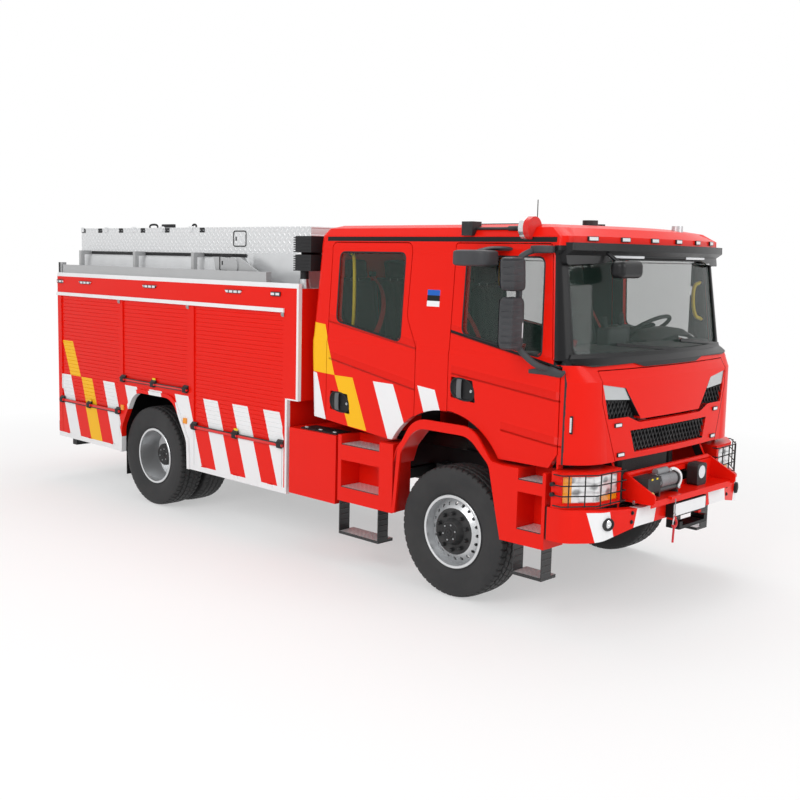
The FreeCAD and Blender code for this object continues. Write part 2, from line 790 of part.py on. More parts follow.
def hanging_step(rear, front, top, z):
    """A black step slung under the box on two straps."""
    inner = half_width - step_depth + 60
    board = block(rear, front, inner, half_width - hang_inset, z - tread_wall, z)
    straps = [block(x, x + hang_plate_wall, half_width - hang_plate_width, half_width - hang_inset, z - tread_wall,
                    top - fit_gap) for x in (rear, front - hang_plate_wall)]
    return fused([board] + straps)


def running_boards():
    keep("front_wings", [both(panel) for panel in wing_panels(front_wing())], both(side_locker()))
    hanging = [hanging_step(step_box_rear + 20, step_box_front - 160, 580, hang_tread_z - 30),
               hanging_step(front_step_rear, front_step_front - 10, 590, hang_tread_z + 35)]
    treads = [block(step_box_rear + 46, step_box_front - 164, half_width - step_depth + 24, half_width - 2,
                    z + fit_gap, z + 8) for z in (lower_tread_z, upper_tread_z)]
    treads += [block(front_step_rear + 33, front_step_front - 33, half_width - step_depth + 33, half_width - 2,
                     z + fit_gap, z + 8) for z in (lower_tread_z, upper_tread_z)]
    keep("cab_steps", [both(piece) for piece in treads + hanging])


# Cab
cab_rear_x = -1750
cab_nose_x = 1230
cab_bottom = 1200
cab_top = 3000
cab_half_width = 1215
cab_wall = 56
cab_length = cab_nose_x - cab_rear_x
cab_height = cab_top - cab_bottom
cab_rear_round = 70
hatch_pocket = 64
firewall_gap = 132
firewall_wall = 26
corner_bulge_share = 0.17
belt_share = 0.445
# height, half width, rear set-in, shoulder, corner setback and corner width, nose setback
cab_section_shares = (
    (0.000, 1.000, 0.010, 0.094, 0.0140, 0.708, 0.0017),
    (0.361, 1.000, 0.000, 0.094, 0.0215, 0.769, 0.0090),
    (0.428, 1.000, 0.000, 0.101, 0.0500, 0.860, 0.0180),
    (0.453, 0.992, 0.000, 0.111, 0.0800, 0.920, 0.0300),
    (0.872, 0.951, 0.013, 0.139, 0.1150, 0.905, 0.0600),
    (0.892, 0.953, 0.014, 0.118, 0.0950, 0.880, 0.0460),
    (0.950, 0.945, 0.017, 0.118, 0.0950, 0.870, 0.0480),
    (0.985, 0.910, 0.030, 0.150, 0.1300, 0.780, 0.0750),
    (1.000, 0.830, 0.055, 0.200, 0.1800, 0.700, 0.1200),
)


def cab_outline(shares, z, inset, front_inset):
    half = cab_half_width * shares[1] - inset
    rear = cab_rear_x + cab_length * shares[2] + inset
    shoulder = cab_nose_x - cab_length * shares[3] - front_inset * 0.3
    corner = cab_nose_x - cab_length * shares[4] - front_inset * 0.9
    corner_half = cab_half_width * shares[5] - inset * 0.7
    nose = cab_nose_x - cab_length * shares[6] - front_inset
    round_in = cab_rear_round
    step = V(corner - shoulder, half - corner_half, 0)
    middle_x = (shoulder + corner) / 2 + step.y * corner_bulge_share
    middle_y = (half + corner_half) / 2 + step.x * corner_bulge_share
    turn = round_in * (1 - math.sqrt(0.5))
    right = [V(rear + turn, -half + turn, z), V(rear + round_in, -half, z), V(shoulder, -half, z),
             V(middle_x, -middle_y, z), V(corner, -corner_half, z)]
    left = [V(spot.x, -spot.y, spot.z) for spot in right]
    nose_spot = V(nose, 0, z)
    edges = [
        Part.LineSegment(V(rear, half - round_in, z), V(rear, -half + round_in, z)),
        Part.Arc(V(rear, -half + round_in, z), right[0], right[1]),
        Part.LineSegment(right[1], right[2]),
        Part.Arc(right[2], right[3], right[4]),
        Part.Arc(right[4], nose_spot, left[4]),
        Part.Arc(left[4], left[3], left[2]),
        Part.LineSegment(left[2], left[1]),
        Part.Arc(left[1], left[0], V(rear, half - round_in, z)),
    ]
    return Part.Wire([edge.toShape() for edge in edges])


def cab_body(inset=0, front_extra=0, low_extra=0):
    """The cab's outer form, or the same form set in by a wall. Below the belt the front can be set
    in further, which leaves the space behind the front hatch."""
    wires = []
    last = len(cab_section_shares) - 1
    for index, shares in enumerate(cab_section_shares):
        z = cab_bottom + cab_height * shares[0]
        if index == last:
            z -= inset
        elif index == last - 1:
            z -= inset * 0.5
        front_inset = inset + front_extra
        if shares[0] < belt_share:
            front_inset += low_extra
        wires.append(cab_outline(shares, z, inset, front_inset))
    return Part.makeLoft(wires, True, True)


sill_rear_z = 1283
sill_front_z = 1238
rear_well_step_z = 1275
front_well_step_z = 1262
floor_bottom = 1516
floor_top = 1552
arch_radius = 662
arch_x = -130
arch_z = 848
arch_inner_y = 760
front_door_rear = -100
front_door_front = 980
rear_door_rear = -1530
rear_door_front = -450
door_top = 2855
door_bottom = 1195
well_inner_y = 800
well_wall = 30
rear_well_rear = -1480
rear_well_front = -800
front_well_rear = 560
front_well_front = 940
hatch_bottom = 1236
hatch_top = 1930
hatch_half_width = 945
screen_bottom = 2030
screen_top = 2750
screen_half_bottom = 1085
screen_half_top = 1070
glass_wall = 6
glass_depth = 10
hinge_leaf = 22
hinge_leaf_reach = 42
hinge_leaf_height = 60
hinge_height_shares = (0.205, 0.36)
leaf_play = 6
hatch_stop_share = 0.28
front_swing_radius = 144
skirt_top = 1516
front_skirt_xs = (80, 220, 340)
rear_skirt_xs = (-575,)
roof_seam_drop = 10
post_front_x = 815
header_half_width = 1040
side_seam_drop = 4


def arch_cutter(radius, inner):
    cutter = rod(V(arch_x, inner, arch_z), V(arch_x, half_width + overrun, arch_z), radius)
    below = block(arch_x - radius, arch_x + radius, inner, half_width + overrun, arch_z - overrun * 2, arch_z)
    return cutter.fuse(below)


def front_door_outline():
    return [(front_door_rear, door_bottom), (front_door_front - 70, door_bottom), (front_door_front, 1310),
            (front_door_front, 1960, 20), (905, 2010, 20), (830, door_top, 40), (front_door_rear, door_top, 30)]


def rear_door_outline():
    return [(rear_door_rear, cab_bottom - door_gap * 2), (rear_door_front, cab_bottom - door_gap * 2), (rear_door_front, 1990, 60),
            (-575, 2240, 200), (-560, door_top, 60), (rear_door_rear, door_top, 60)]


def front_window_outline():
    return [(20, 2140, 60), (800, 2012, 60), (765, 2752, 60), (20, 2752, 60)]


def rear_window_outline():
    return [(-1426, 2160, 60), (-640, 2030, 60), (-640, 2768, 60), (-1426, 2768, 60)]


handle_depth = 24
handle_length = 255
handle_height = 190
handle_rears = {"front": -62, "rear": -1472}
handle_bottoms = {"front": 1606, "rear": 1350}
handle_shares = ((0.0, 0.12, 0.06), (1.0, 0.0, 0.06), (0.86, 0.92, 0.06), (0.0, 1.0, 0.06))


def handle_outline(rear, bottom):
    return spread(handle_shares, rear, rear + handle_length, bottom, bottom + handle_height)


def hatch_outline():
    return [(-770, hatch_bottom), (770, hatch_bottom), (hatch_half_width, 1700, 200), (hatch_half_width, hatch_top),
            (-hatch_half_width, hatch_top), (-hatch_half_width, 1700, 200)]


def screen_outline():
    return [(-screen_half_bottom, screen_bottom, 70), (screen_half_bottom, screen_bottom, 70),
            (screen_half_top, screen_top, 70), (-screen_half_top, screen_top, 70)]


def sill_cutter():
    """Below the cab: the sill rises to the back behind the wheel arch and ahead of the front door."""
    low = cab_bottom - overrun
    rear = side_plate([(cab_rear_x - overrun, low), (rear_well_front + well_wall, low), (rear_well_front + well_wall, cab_bottom),
                       (cab_rear_x + 2 * cab_rest_length, sill_rear_z), (cab_rear_x - overrun, sill_rear_z)],
                      -half_width, half_width)
    front = block(front_door_front + door_gap / 2, cab_nose_x + overrun, -half_width, half_width, low, sill_front_z)
    return rear, front


def tilt_arm():
    half = tilt_arm_half
    knee_z = sill_front_z - half
    back = cab_nose_x - firewall_gap
    plate = side_plate([(tilt_x - half, tilt_z), (tilt_x + half, tilt_z), (tilt_x + half, knee_z - 4 * half),
                        (back, sill_front_z), (back, floor_bottom + half / 2), (back - 2 * half, floor_bottom + half / 2),
                        (back - 2 * half, knee_z), (tilt_x - half, knee_z - 5 * half)],
                       tilt_arm_inner_y, tilt_arm_inner_y + tilt_arm_wall)
    arm = plate.fuse(rod(V(tilt_x, tilt_arm_inner_y, tilt_z), V(tilt_x, tilt_arm_inner_y + tilt_arm_wall, tilt_z), half))
    return arm.cut(rod(V(tilt_x, tilt_arm_inner_y - overrun, tilt_z), V(tilt_x, tilt_arm_inner_y + overrun, tilt_z),
                       tilt_pin_radius + fit_gap))


def shell_panels(shell):
    """The cab's shell, parted where its panels meet: roof, rear wall, floor, wells, posts, header and front."""
    wide = half_width + overrun
    low = cab_bottom - overrun
    seam = door_top - roof_seam_drop
    rear = cab_rear_x + cab_wall + side_seam_drop
    back = cab_rear_x - overrun
    front = cab_nose_x + overrun
    inner = cab_half_width - cab_wall
    edge = front_door_front
    wall = cab_nose_x - firewall_gap + fit_gap
    corner = hatch_half_width
    well_back = well_inner_y - well_wall
    boxes = [block(back, front, -wide, wide, seam, cab_top + overrun), block(back, rear, -wide, wide, low, seam),
             block(rear, edge, -inner, inner, floor_bottom, floor_top),
             block(rear, edge, -well_back, well_back, low, floor_bottom),
             block(post_front_x, front, -header_half_width, header_half_width, screen_bottom, seam),
             block(post_front_x, edge, -wide, wide, floor_top, screen_bottom),
             block(edge, wall, -corner, corner, low, screen_bottom),
             block(wall, front, -corner, corner, low, screen_bottom)]
    for side in (block(rear, post_front_x, 0, wide, floor_top, seam), block(rear, edge, inner, wide, low, floor_top),
                 block(post_front_x, front, header_half_width, wide, screen_bottom, seam),
                 block(edge, front, corner, wide, low, screen_bottom)):
        boxes += both(side)
    boxes += both(block(rear, edge, well_back, well_inner_y, low, floor_bottom))
    middle = (rear_well_front + front_well_rear) / 2
    for start, end, step in ((rear, middle, rear_well_step_z), (middle, edge, front_well_step_z)):
        boxes += both(block(start, end, well_inner_y, inner, low, step))
        boxes += both(block(start, end, well_inner_y, inner, step, floor_bottom))
    return [shell.common(box) for box in boxes]


def skirted(door, cuts):
    """A door parted above the wheel arch, and its skirt parted along its length."""
    wide = half_width + overrun
    low = cab_bottom - overrun
    edges = [cab_rear_x - overrun] + list(cuts) + [cab_nose_x + overrun]
    boxes = [block(a, b, -wide, wide, low, skirt_top) for a, b in zip(edges, edges[1:])]
    return [door.common(box) for box in boxes + [block(edges[0], edges[-1], -wide, wide, skirt_top, cab_top)]]


def cab():
    outer = cab_body()
    inner = cab_body(cab_wall)
    behind_pocket = cab_body(hatch_pocket)
    skin = outer.cut(inner)
    glass_layer = cab_body(glass_depth).cut(cab_body(glass_depth + glass_wall))
    firewall = cab_body(cab_wall, 0, firewall_gap - cab_wall).cut(
        cab_body(cab_wall, 0, firewall_gap - cab_wall + firewall_wall))
    belt = cab_bottom + cab_height * belt_share
    front_zone = block(front_door_front - 60, cab_nose_x, -hatch_half_width - 120, hatch_half_width + 120,
                       floor_bottom, belt)
    firewall = firewall.common(front_zone)
    floor = inner.common(block(cab_rear_x, cab_nose_x - firewall_gap, -half_width, half_width, floor_bottom, floor_top))
    shell = fused([skin, floor, firewall])

    tubs = []
    for rear, front, step in ((rear_well_rear, rear_well_front, rear_well_step_z),
                              (front_well_rear, front_well_front, front_well_step_z)):
        outside = block(rear - well_wall, front + well_wall, well_inner_y - well_wall, half_width,
                        step - well_wall, floor_bottom)
        inside = block(rear, front, well_inner_y, half_width, step, floor_top + overrun / 8)
        tubs.append((outside.common(inner), inside.common(inner)))
    for outside, inside in tubs:
        shell = shell.multiFuse([outside, mirrored(outside)])
        shell = shell.cut(Part.makeCompound([inside, mirrored(inside)]))
    arch = arch_cutter(arch_radius, arch_inner_y)
    shell = shell.cut(Part.makeCompound(both(arch)))
    shell = shell.cut(Part.makeCompound(list(sill_cutter())))
    swing = rod(V(front_door_front, cab_half_width, cab_bottom), V(front_door_front, cab_half_width, belt),
                front_swing_radius)
    shell = shell.cut(Part.makeCompound(both(swing.common(
        block(post_front_x, front_door_front - door_gap, arch_inner_y, half_width, cab_bottom, belt)))))
    shell = fused([shell] + both(tilt_arm()))
    backing = cab_body(cab_wall + fit_gap).cut(cab_body(cab_wall + hinge_leaf))
    fixing = cab_body(cab_wall - fit_gap).cut(cab_body(cab_wall + hinge_leaf))
    leaves = []
    for z_share in hinge_height_shares:
        z = cab_bottom + cab_height * z_share
        for edge, ahead in ((front_door_rear, -hinge_leaf_reach), (rear_door_front, hinge_leaf_reach)):
            moving = block(edge - max(ahead, 0), edge - min(ahead, 0), arch_inner_y, half_width, z, z + hinge_leaf_height)
            fixed = block(edge + min(ahead, 0), edge + max(ahead, 0), arch_inner_y, half_width, z, z + hinge_leaf_height)
            leaves.append(backing.common(moving).fuse(fixing.common(fixed)))
    swing = rod(V(rear_door_front, cab_half_width, cab_bottom), V(rear_door_front, cab_half_width, door_top),
                cab_wall + leaf_play)
    leaves = [leaf.cut(swing) for leaf in leaves]
    z = cab_bottom + cab_height * hatch_stop_share
    moving = block(front_door_front, cab_nose_x, hatch_half_width - hinge_leaf_reach, hatch_half_width,
                   z, z + hinge_leaf_height)
    fixed = block(front_door_front, cab_nose_x, hatch_half_width, hatch_half_width + hinge_leaf_reach,
                  z, z + hinge_leaf_height)
    leaves.append(backing.common(moving).fuse(fixing.common(fixed)))

    doors = {"front": (front_door_outline(), front_window_outline()),
             "rear": (rear_door_outline(), rear_window_outline())}
    for name, (outline, window) in doors.items():
        opening = skin.common(side_plate(outline, arch_inner_y, half_width + overrun))
        shell = shell.cut(Part.makeCompound(both(opening)))
        door = skin.common(side_plate(outline, arch_inner_y, half_width + overrun, door_gap))
        door = door.cut(arch_cutter(arch_radius + door_gap, arch_inner_y)).cut(sill_cutter()[0])
        door = door.cut(side_plate(window, arch_inner_y, half_width + overrun))
        door = door.cut(side_plate(handle_outline(handle_rears[name], handle_bottoms[name]),
                                   cab_half_width - handle_depth, half_width + overrun))
        glass = glass_layer.common(side_plate(window, arch_inner_y, half_width + overrun, fit_gap))
        door = skirted(door, {"front": front_skirt_xs, "rear": rear_skirt_xs}[name])
        keep("door_%s_left" % name, door)
        keep("door_%s_right" % name, [mirrored(piece) for piece in door])
        keep("door_glass_%s_left" % name, glass)
        keep("door_glass_%s_right" % name, mirrored(glass))

    front = cross_plate(hatch_outline(), front_door_front, cab_nose_x + overrun)
    pocket = outer.cut(behind_pocket).common(front)
    shell = shell.cut(pocket)
    small = Part.Face(rounded_wire(hatch_outline(), place_yz(front_door_front))).makeOffset2D(-door_gap)
    hatch = skin.common(small.extrude(V(cab_nose_x + overrun - front_door_front, 0, 0)))
    hatch = hatch.cut(Part.makeCompound([grille_space(outline, floor_x, 0) for outline, floor_x in grille_recesses()]))
    keep("front_hatch", hatch)

    screen = cross_plate(screen_outline(), front_door_rear, cab_nose_x + overrun)
    shell = shell.cut(screen)
    pane = Part.Face(rounded_wire(screen_outline(), place_yz(front_door_rear))).makeOffset2D(-fit_gap)
    glass = glass_layer.common(pane.extrude(V(cab_nose_x + overrun - front_door_rear, 0, 0)))
    keep("windscreen", glass)
    shell = fused([shell] + leaves + [mirrored(leaf) for leaf in leaves])
    keep("cab_shell", shell_panels(shell))


# Grilles and lamps in the front hatch
upper_recess_floor_x = 1150
lower_recess_floor_x = 1176
upper_recess_half = 934
upper_recess_bottom = 1512
upper_recess_top = 1827
upper_recess_shares = ((1.0, 1.0), (0.965, 0.64), (0.924, 0.17), (0.66, 0.17), (0.50, 0.0), (-0.50, 0.0), (-0.66, 0.17),
                       (-0.924, 0.17), (-0.965, 0.64), (-1.0, 1.0), (-0.70, 0.87, 0.1), (-0.626, 0.57), (-0.478, 0.08),
                       (0.478, 0.08), (0.626, 0.57), (0.70, 0.87, 0.1))
mesh_area_shares = ((0.958, 0.60), (0.924, 0.17), (0.63, 0.17), (0.52, 0.10), (0.626, 0.53))
lamp_area_shares = ((1.0, 1.0), (0.965, 0.64), (0.626, 0.57), (0.70, 0.87, 0.1))
lower_recess_half = 585
lower_recess_bottom = 1288
lower_recess_top = 1458
lower_recess_shares = ((-1.0, 1.0, 0.08), (-0.90, 0.0, 0.15), (0.90, 0.0, 0.15), (1.0, 1.0, 0.08))
mesh_pitch = 50
mesh_bar_width = 9
mesh_bar_depth = 8
mesh_lean_share = 0.62
nose_lamp_inset = 8
strobe_length = 84
strobe_height = 30
strobe_stand = 12
strobe_places = ((747, 1513), (709, 1286))


def grille_recesses():
    upper = spread(upper_recess_shares, 0, upper_recess_half, upper_recess_bottom, upper_recess_top)
    lower = spread(lower_recess_shares, 0, lower_recess_half, lower_recess_bottom, lower_recess_top)
    return (upper, upper_recess_floor_x), (lower, lower_recess_floor_x)


def grille_space(outline, floor_x, clear):
    face = Part.Face(rounded_wire(outline, place_yz(floor_x)))
    if clear:
        face = face.makeOffset2D(-clear)
    return face.extrude(V(cab_nose_x + overrun - floor_x, 0, 0))


def mesh_bars(outline, floor_x):
    """Two layers of slanted bars that cross one another inside an outline."""
    area = grille_space(outline, floor_x, fit_gap)
    box = area.BoundBox
    height = box.ZMax - box.ZMin
    reach = height * mesh_lean_share
    bars = []
    for layer, lean in ((0, reach), (1, -reach)):
        back = floor_x + fit_gap + layer * mesh_bar_depth
        count = int((box.YMax - box.YMin + 2 * reach) / mesh_pitch)
        for index in range(count + 1):
            y = box.YMin - reach + index * mesh_pitch
            bar = cross_plate([(y, box.ZMin - fit_gap), (y + mesh_bar_width, box.ZMin - fit_gap),
                               (y + mesh_bar_width + lean, box.ZMax + fit_gap), (y + lean, box.ZMax + fit_gap)],
                              back, back + mesh_bar_depth)
            bars += bar.common(area).Solids
    return bars


def front_grille():
    low = spread(lower_recess_shares, 0, lower_recess_half, lower_recess_bottom, lower_recess_top)
    side = spread(mesh_area_shares, 0, upper_recess_half, upper_recess_bottom, upper_recess_top)
    lamp = spread(lamp_area_shares, 0, upper_recess_half, upper_recess_bottom, upper_recess_top)
    pieces = mesh_bars(low, lower_recess_floor_x)
    for bar in mesh_bars(side, upper_recess_floor_x):
        pieces += both(bar)
    lens = grille_space(lamp, upper_recess_floor_x + fit_gap, fit_gap).common(cab_body(nose_lamp_inset))
    pieces += both(lens)
    skin = cab_body(-fit_gap)
    ahead = cab_body(-strobe_stand)
    for y, z in strobe_places:
        strobe = block(front_door_front, cab_nose_x + overrun, y - strobe_length / 2, y + strobe_length / 2,
                       z - strobe_height / 2, z + strobe_height / 2)
        pieces += both(strobe.common(ahead).cut(skin))
    return pieces


# Cowl, visor, wipers and the front mirror
cowl_bottom = 1936
cowl_top = 2046
cowl_stand = 13
cowl_half = 1150
cowl_shares = ((-1.0, 0.42), (-0.86, 0.20, 0.2), (-0.45, 0.28, 0.3), (-0.34, 0.0, 0.2), (0.34, 0.0, 0.2), (0.45, 0.28, 0.3),
               (0.86, 0.20, 0.2), (1.0, 0.42), (0.97, 1.0), (-0.97, 1.0))
visor_bottom = 2700
visor_top = 2862
visor_half = 1128
visor_stand = 46
visor_wall = 18
visor_shares = ((-1.0, 0.0, 0.12), (-0.72, 0.08, 0.2), (-0.52, 0.36, 0.3), (0.52, 0.36, 0.3), (0.72, 0.08, 0.2), (1.0, 0.0, 0.12),
                (1.0, 1.0), (-1.0, 1.0))
wiper_stand = 16
wiper_wall = 9
wiper_width = 20
wiper_reach = 800
wiper_rise = 66
wiper_low = 2034
wiper_starts = (1000, 130)
front_mirror_y = 750
front_mirror_x = 1205
front_mirror_z = 2672
front_mirror_half = 150
front_mirror_height = 128
front_mirror_depth = 120
front_mirror_arm = 15


def layer(outline, back, inside, outside):
    """A sheet that follows the cab's front, between two distances ahead of its skin."""
    return cross_plate(outline, back, cab_nose_x + overrun).common(cab_body(-outside)).cut(cab_body(-inside))


def front_trim():
    pillar_x = (front_door_front + front_door_rear) / 2 + overrun
    cowl = layer(spread(cowl_shares, 0, cowl_half, cowl_bottom, cowl_top), pillar_x, fit_gap, cowl_stand)
    visor = layer(spread(visor_shares, 0, visor_half, visor_bottom, visor_top), pillar_x, fit_gap, visor_stand)
    hollow = layer(spread(visor_shares, 0, visor_half - visor_wall, visor_bottom - overrun, visor_top - visor_wall),
                   pillar_x - overrun, -overrun, visor_stand - visor_wall)
    visor = visor.cut(hollow)
    wipers = []
    for start in wiper_starts:
        blade = layer([(start, wiper_low), (start, wiper_low + wiper_width),
                       (start - wiper_reach, wiper_low + wiper_rise + wiper_width), (start - wiper_reach, wiper_low + wiper_rise)],
                      pillar_x, cowl_stand + fit_gap, cowl_stand + wiper_wall)
        wipers.append(blade)
    centre = V(front_mirror_x, -front_mirror_y, front_mirror_z)
    head = block(centre.x - front_mirror_depth / 2, centre.x + front_mirror_depth / 2, centre.y - front_mirror_half,
                 centre.y + front_mirror_half, centre.z - front_mirror_height / 2, centre.z + front_mirror_height / 2)
    head = head.makeFillet(front_mirror_height / 3, head.Edges)
    arm = rod(V(cab_nose_x - 2 * front_mirror_depth, centre.y - front_mirror_arm, visor_bottom + front_mirror_height),
              centre, front_mirror_arm)
    mirror = head.fuse(arm).cut(cab_body(-fit_gap))
    mirror = mirror.cut(cab_body(-visor_stand - fit_gap).common(
        cross_plate(spread(visor_shares, 0, visor_half + visor_wall, visor_bottom - fit_gap, visor_top + fit_gap),
                    front_door_rear, cab_nose_x + overrun)))
    keep("cab_trim", cowl, visor, wipers, sorted(mirror.Solids, key=lambda solid: solid.Volume)[-1])
    keep("front_grille", front_grille())


# Lamps, search light, antenna and fittings on the cab's roof
roof_lamp_length = 96
roof_lamp_height = 34
roof_lamp_stand = 14
roof_lamp_z = 2893
roof_lamp_ys = (182, 548, 892)
search_y = -1122
search_z = 2964
search_foot_x = -30
search_foot_length = 110
search_foot_height = 110
search_rod_radius = 11
search_grip_radius = 19
search_grip_length = 150
search_head_x = 545
search_head_radius = 88
search_head_depth = 92
antenna_x = 50
antenna_y = -300
antenna_radius = 4
antenna_base_radius = 38
antenna_top = 3228
dome_spots = ((330, 120, 34, 26), (560, -130, 34, 26), (650, -420, 60, 46), (880, 520, 46, 30))
hatch_frame_length = 620
hatch_frame_half = 330
hatch_frame_x = -700
hatch_frame_height = 34


def cab_roof():
    crown = cab_body(-fit_gap)
    ahead = cab_body(-roof_lamp_stand)
    pieces = []
    for y in roof_lamp_ys:
        lamp = block(front_door_front - overrun, cab_nose_x, y - roof_lamp_length / 2, y + roof_lamp_length / 2,
                     roof_lamp_z - roof_lamp_height / 2, roof_lamp_z + roof_lamp_height / 2)
        pieces += both(lamp.common(ahead).cut(crown))
    foot = block(search_foot_x, search_foot_x + search_foot_length, search_y - search_foot_length / 2,
                 search_y + search_foot_length / 2, search_z - search_foot_height / 2, search_z + search_foot_height / 2)
    stem = rod(V(search_foot_x, search_y, search_z), V(search_head_x, search_y, search_z), search_rod_radius)
    grip = rod(V(search_head_x - search_grip_length, search_y, search_z), V(search_head_x, search_y, search_z),
               search_grip_radius)
    head = rod(V(search_head_x, search_y, search_z), V(search_head_x + search_head_depth, search_y, search_z),
               search_head_radius)
    search = fused([foot, stem, grip, head]).cut(crown)
    pieces.append(sorted(search.Solids, key=lambda solid: solid.Volume)[-1])
    mast = rod(V(antenna_x, antenna_y, cab_top - overrun / 4), V(antenna_x, antenna_y, antenna_top), antenna_radius)
    base = Part.makeCone(antenna_base_radius, antenna_radius, antenna_base_radius + overrun / 4,
                         V(antenna_x, antenna_y, cab_top - overrun / 4))
    pieces.append(sorted(mast.fuse(base).cut(crown).Solids, key=lambda solid: solid.Volume)[-1])
    for x, y, radius, height in dome_spots:
        pieces.append(rod(V(x, y, cab_top - overrun / 4), V(x, y, cab_top + height), radius).cut(crown))
    frame = block(hatch_frame_x, hatch_frame_x + hatch_frame_length, -hatch_frame_half, hatch_frame_half,
                  cab_top - overrun / 4, cab_top + hatch_frame_height)
    pieces.append(frame.cut(crown))
    keep("roof_gear", pieces)


# Seats and dashboard
seat_half_width = 235
front_seat_y = 640
front_seat_x = 60
seat_length = 480
seat_base_top = 1830
cushion_top = 1950
back_top = 2560
back_thickness = 130
bench_half_width = 1050
bench_rear = -1640
seat_round = 40
dash_rear = 700
dash_front = 960
dash_top = 2080
dash_bottom = 1700
dash_half_width = 1060


def seat(front, half, y):
    base = side_plate([(front - seat_length, floor_top + fit_gap), (front - 60, floor_top + fit_gap),
                       (front - 20, seat_base_top), (front - seat_length, seat_base_top)], y - half, y + half)
    pad = side_plate([(front - seat_length, seat_base_top), (front, seat_base_top, seat_round),
                      (front, cushion_top, seat_round), (front - seat_length + back_thickness, cushion_top - 20),
                      (front - seat_length + back_thickness * 0.7, back_top, seat_round),
                      (front - seat_length - 30, back_top, seat_round)], y - half, y + half)
    return base.fuse(pad)


def interior():
    seats = [seat(front_seat_x + seat_length / 2, seat_half_width, y) for y in (-front_seat_y, front_seat_y)]
    bench = seat(bench_rear + seat_length + 60, bench_half_width, 0)
    keep("seats", seats, bench)
    dash = side_plate([(dash_rear, dash_bottom), (cab_nose_x, dash_bottom), (cab_nose_x, dash_top - 60),
                       (dash_front - 120, dash_top, 80), (dash_rear, dash_top - 60, 60)],
                      -dash_half_width, dash_half_width)
    dash = dash.common(cab_body(cab_wall + fit_gap, 0, firewall_gap - cab_wall + firewall_wall))
    wheel_centre = V(dash_rear - 130, front_seat_y, dash_top + 70)
    lean = V(-0.55, 0, 0.83)
    ring = Part.makeTorus(215, 17, wheel_centre, lean)
    column = rod(wheel_centre, V(dash_rear + 20, front_seat_y, dash_top - 120), 38)
    spoke = rod(wheel_centre - V(0, 215, 0), wheel_centre + V(0, 215, 0), 15)
    keep("dashboard", fused([dash, column, ring, spoke]))


# Superstructure
body_rear = -6210
body_front = -1850
body_front_low = -2000
body_step_z = 1400
body_bottom = 510
body_top = 2430
body_wall = 40
arch_rear_x = -4802
arch_front_x = -3560
arch_leg_z = 800
arch_shoulder = 260
arch_lean = 10
arch_leg_round = 200
arch_top_round = 250
arch_lip_width = 40
arch_lip_stand = 18
body_arch_top = 1212
locker_back_y = 560
shutter_top = 2200
shutters_x = ((-6130, -4860), (-4790, -3570), (-3460, -2060))
shutter_bottoms = (940, 1313, 950)
rear_shutter_half = 640
rear_shutter_bottom = 1060
slat_pitch = 42
slat_groove = 5
slat_groove_depth = 4
flap_bottom = 566
flap_wall = 38
flap_hinge_length = 70
flap_hinge_height = 26
flap_hinge_radius = 9
flap_hinge_shares = (0.12, 0.5, 0.88)
shutter_wall = 16
shutter_recess = 14
deck_wall = 40
bar_height = 34
bar_stand = 18
bar_overhang = 22
bracket_length = 84
bracket_height = 66
bracket_stand = 34
bracket_round = 14
drip_top = 2244
drip_bottom = 2206
drip_stand = 16
drip_end = 46
roof_cap_height = 44
partitions_x = (-4826, -3515)
partition_wall = 30
mud_flap_wall = 8
mud_flap_bottom = 245
mud_flap_inner_y = 620
mud_flap_outer_y = 1210


def arch_points(grow):
    """The wheel opening's edge from its rear foot to its front foot, set out by a margin."""
    return [(arch_rear_x - grow, body_bottom), (arch_rear_x + arch_lean - grow, arch_leg_z, arch_leg_round),
            (arch_rear_x + arch_shoulder - grow / 2, body_arch_top + grow, arch_top_round),
            (arch_front_x - arch_shoulder + grow / 2, body_arch_top + grow, arch_top_round),
            (arch_front_x - arch_lean + grow, arch_leg_z, arch_leg_round), (arch_front_x + grow, body_bottom)]


def body_side_outline():
    return [(body_rear, body_bottom)] + arch_points(0) + [
        (body_front_low, body_bottom), (body_front_low, body_step_z), (body_front, body_step_z), (body_front, body_top),
        (body_rear, body_top)]


def shutter_openings():
    return [(rear, front, bottom, shutter_top) for (rear, front), bottom in zip(shutters_x, shutter_bottoms)]


def flap_openings():
    spans = []
    for (rear, front), bottom in zip(shutters_x, shutter_bottoms):
        if bottom < body_arch_top:
            spans.append((rear, front, flap_bottom, bottom - fit_gap))
    return spans


def flap_hinge_xs(rear, front):
    return [rear + (front - rear) * share for share in flap_hinge_shares]


def flap_barrel(x, clear):
    """A hinge's barrel on the flap's lower edge."""
    half = flap_hinge_length / 2 + clear
    z = flap_bottom + fit_gap
    return rod(V(x - half, half_width, z), V(x + half, half_width, z), flap_hinge_radius + clear)


def body_side():
    wall = side_plate(body_side_outline(), half_width - body_wall, half_width)
    for rear, front, bottom, top in shutter_openings() + flap_openings():
        wall = wall.cut(block(rear, front, half_width - body_wall - overrun, half_width + overrun, bottom, top))
    barrels = []
    for rear, front, bottom, top in flap_openings():
        for x in flap_hinge_xs(rear, front):
            half = flap_hinge_length / 2
            leaf = block(x - half, x + half, half_width - body_wall, half_width + flap_hinge_radius / 2,
                         bottom - flap_hinge_height, bottom)
            barrels.append(leaf.fuse(flap_barrel(x, 0)))
    wall = fused([wall] + barrels)
    lip = side_plate(arch_points(arch_lip_width), half_width - arch_lip_stand, half_width + arch_lip_stand)
    lip = lip.cut(side_plate(arch_points(0), half_width - overrun, half_width + overrun))
    clear = block(body_rear, body_front, half_width, half_width + overrun, body_arch_top + arch_lip_width, body_top)
    return fused([wall, lip.cut(clear)])


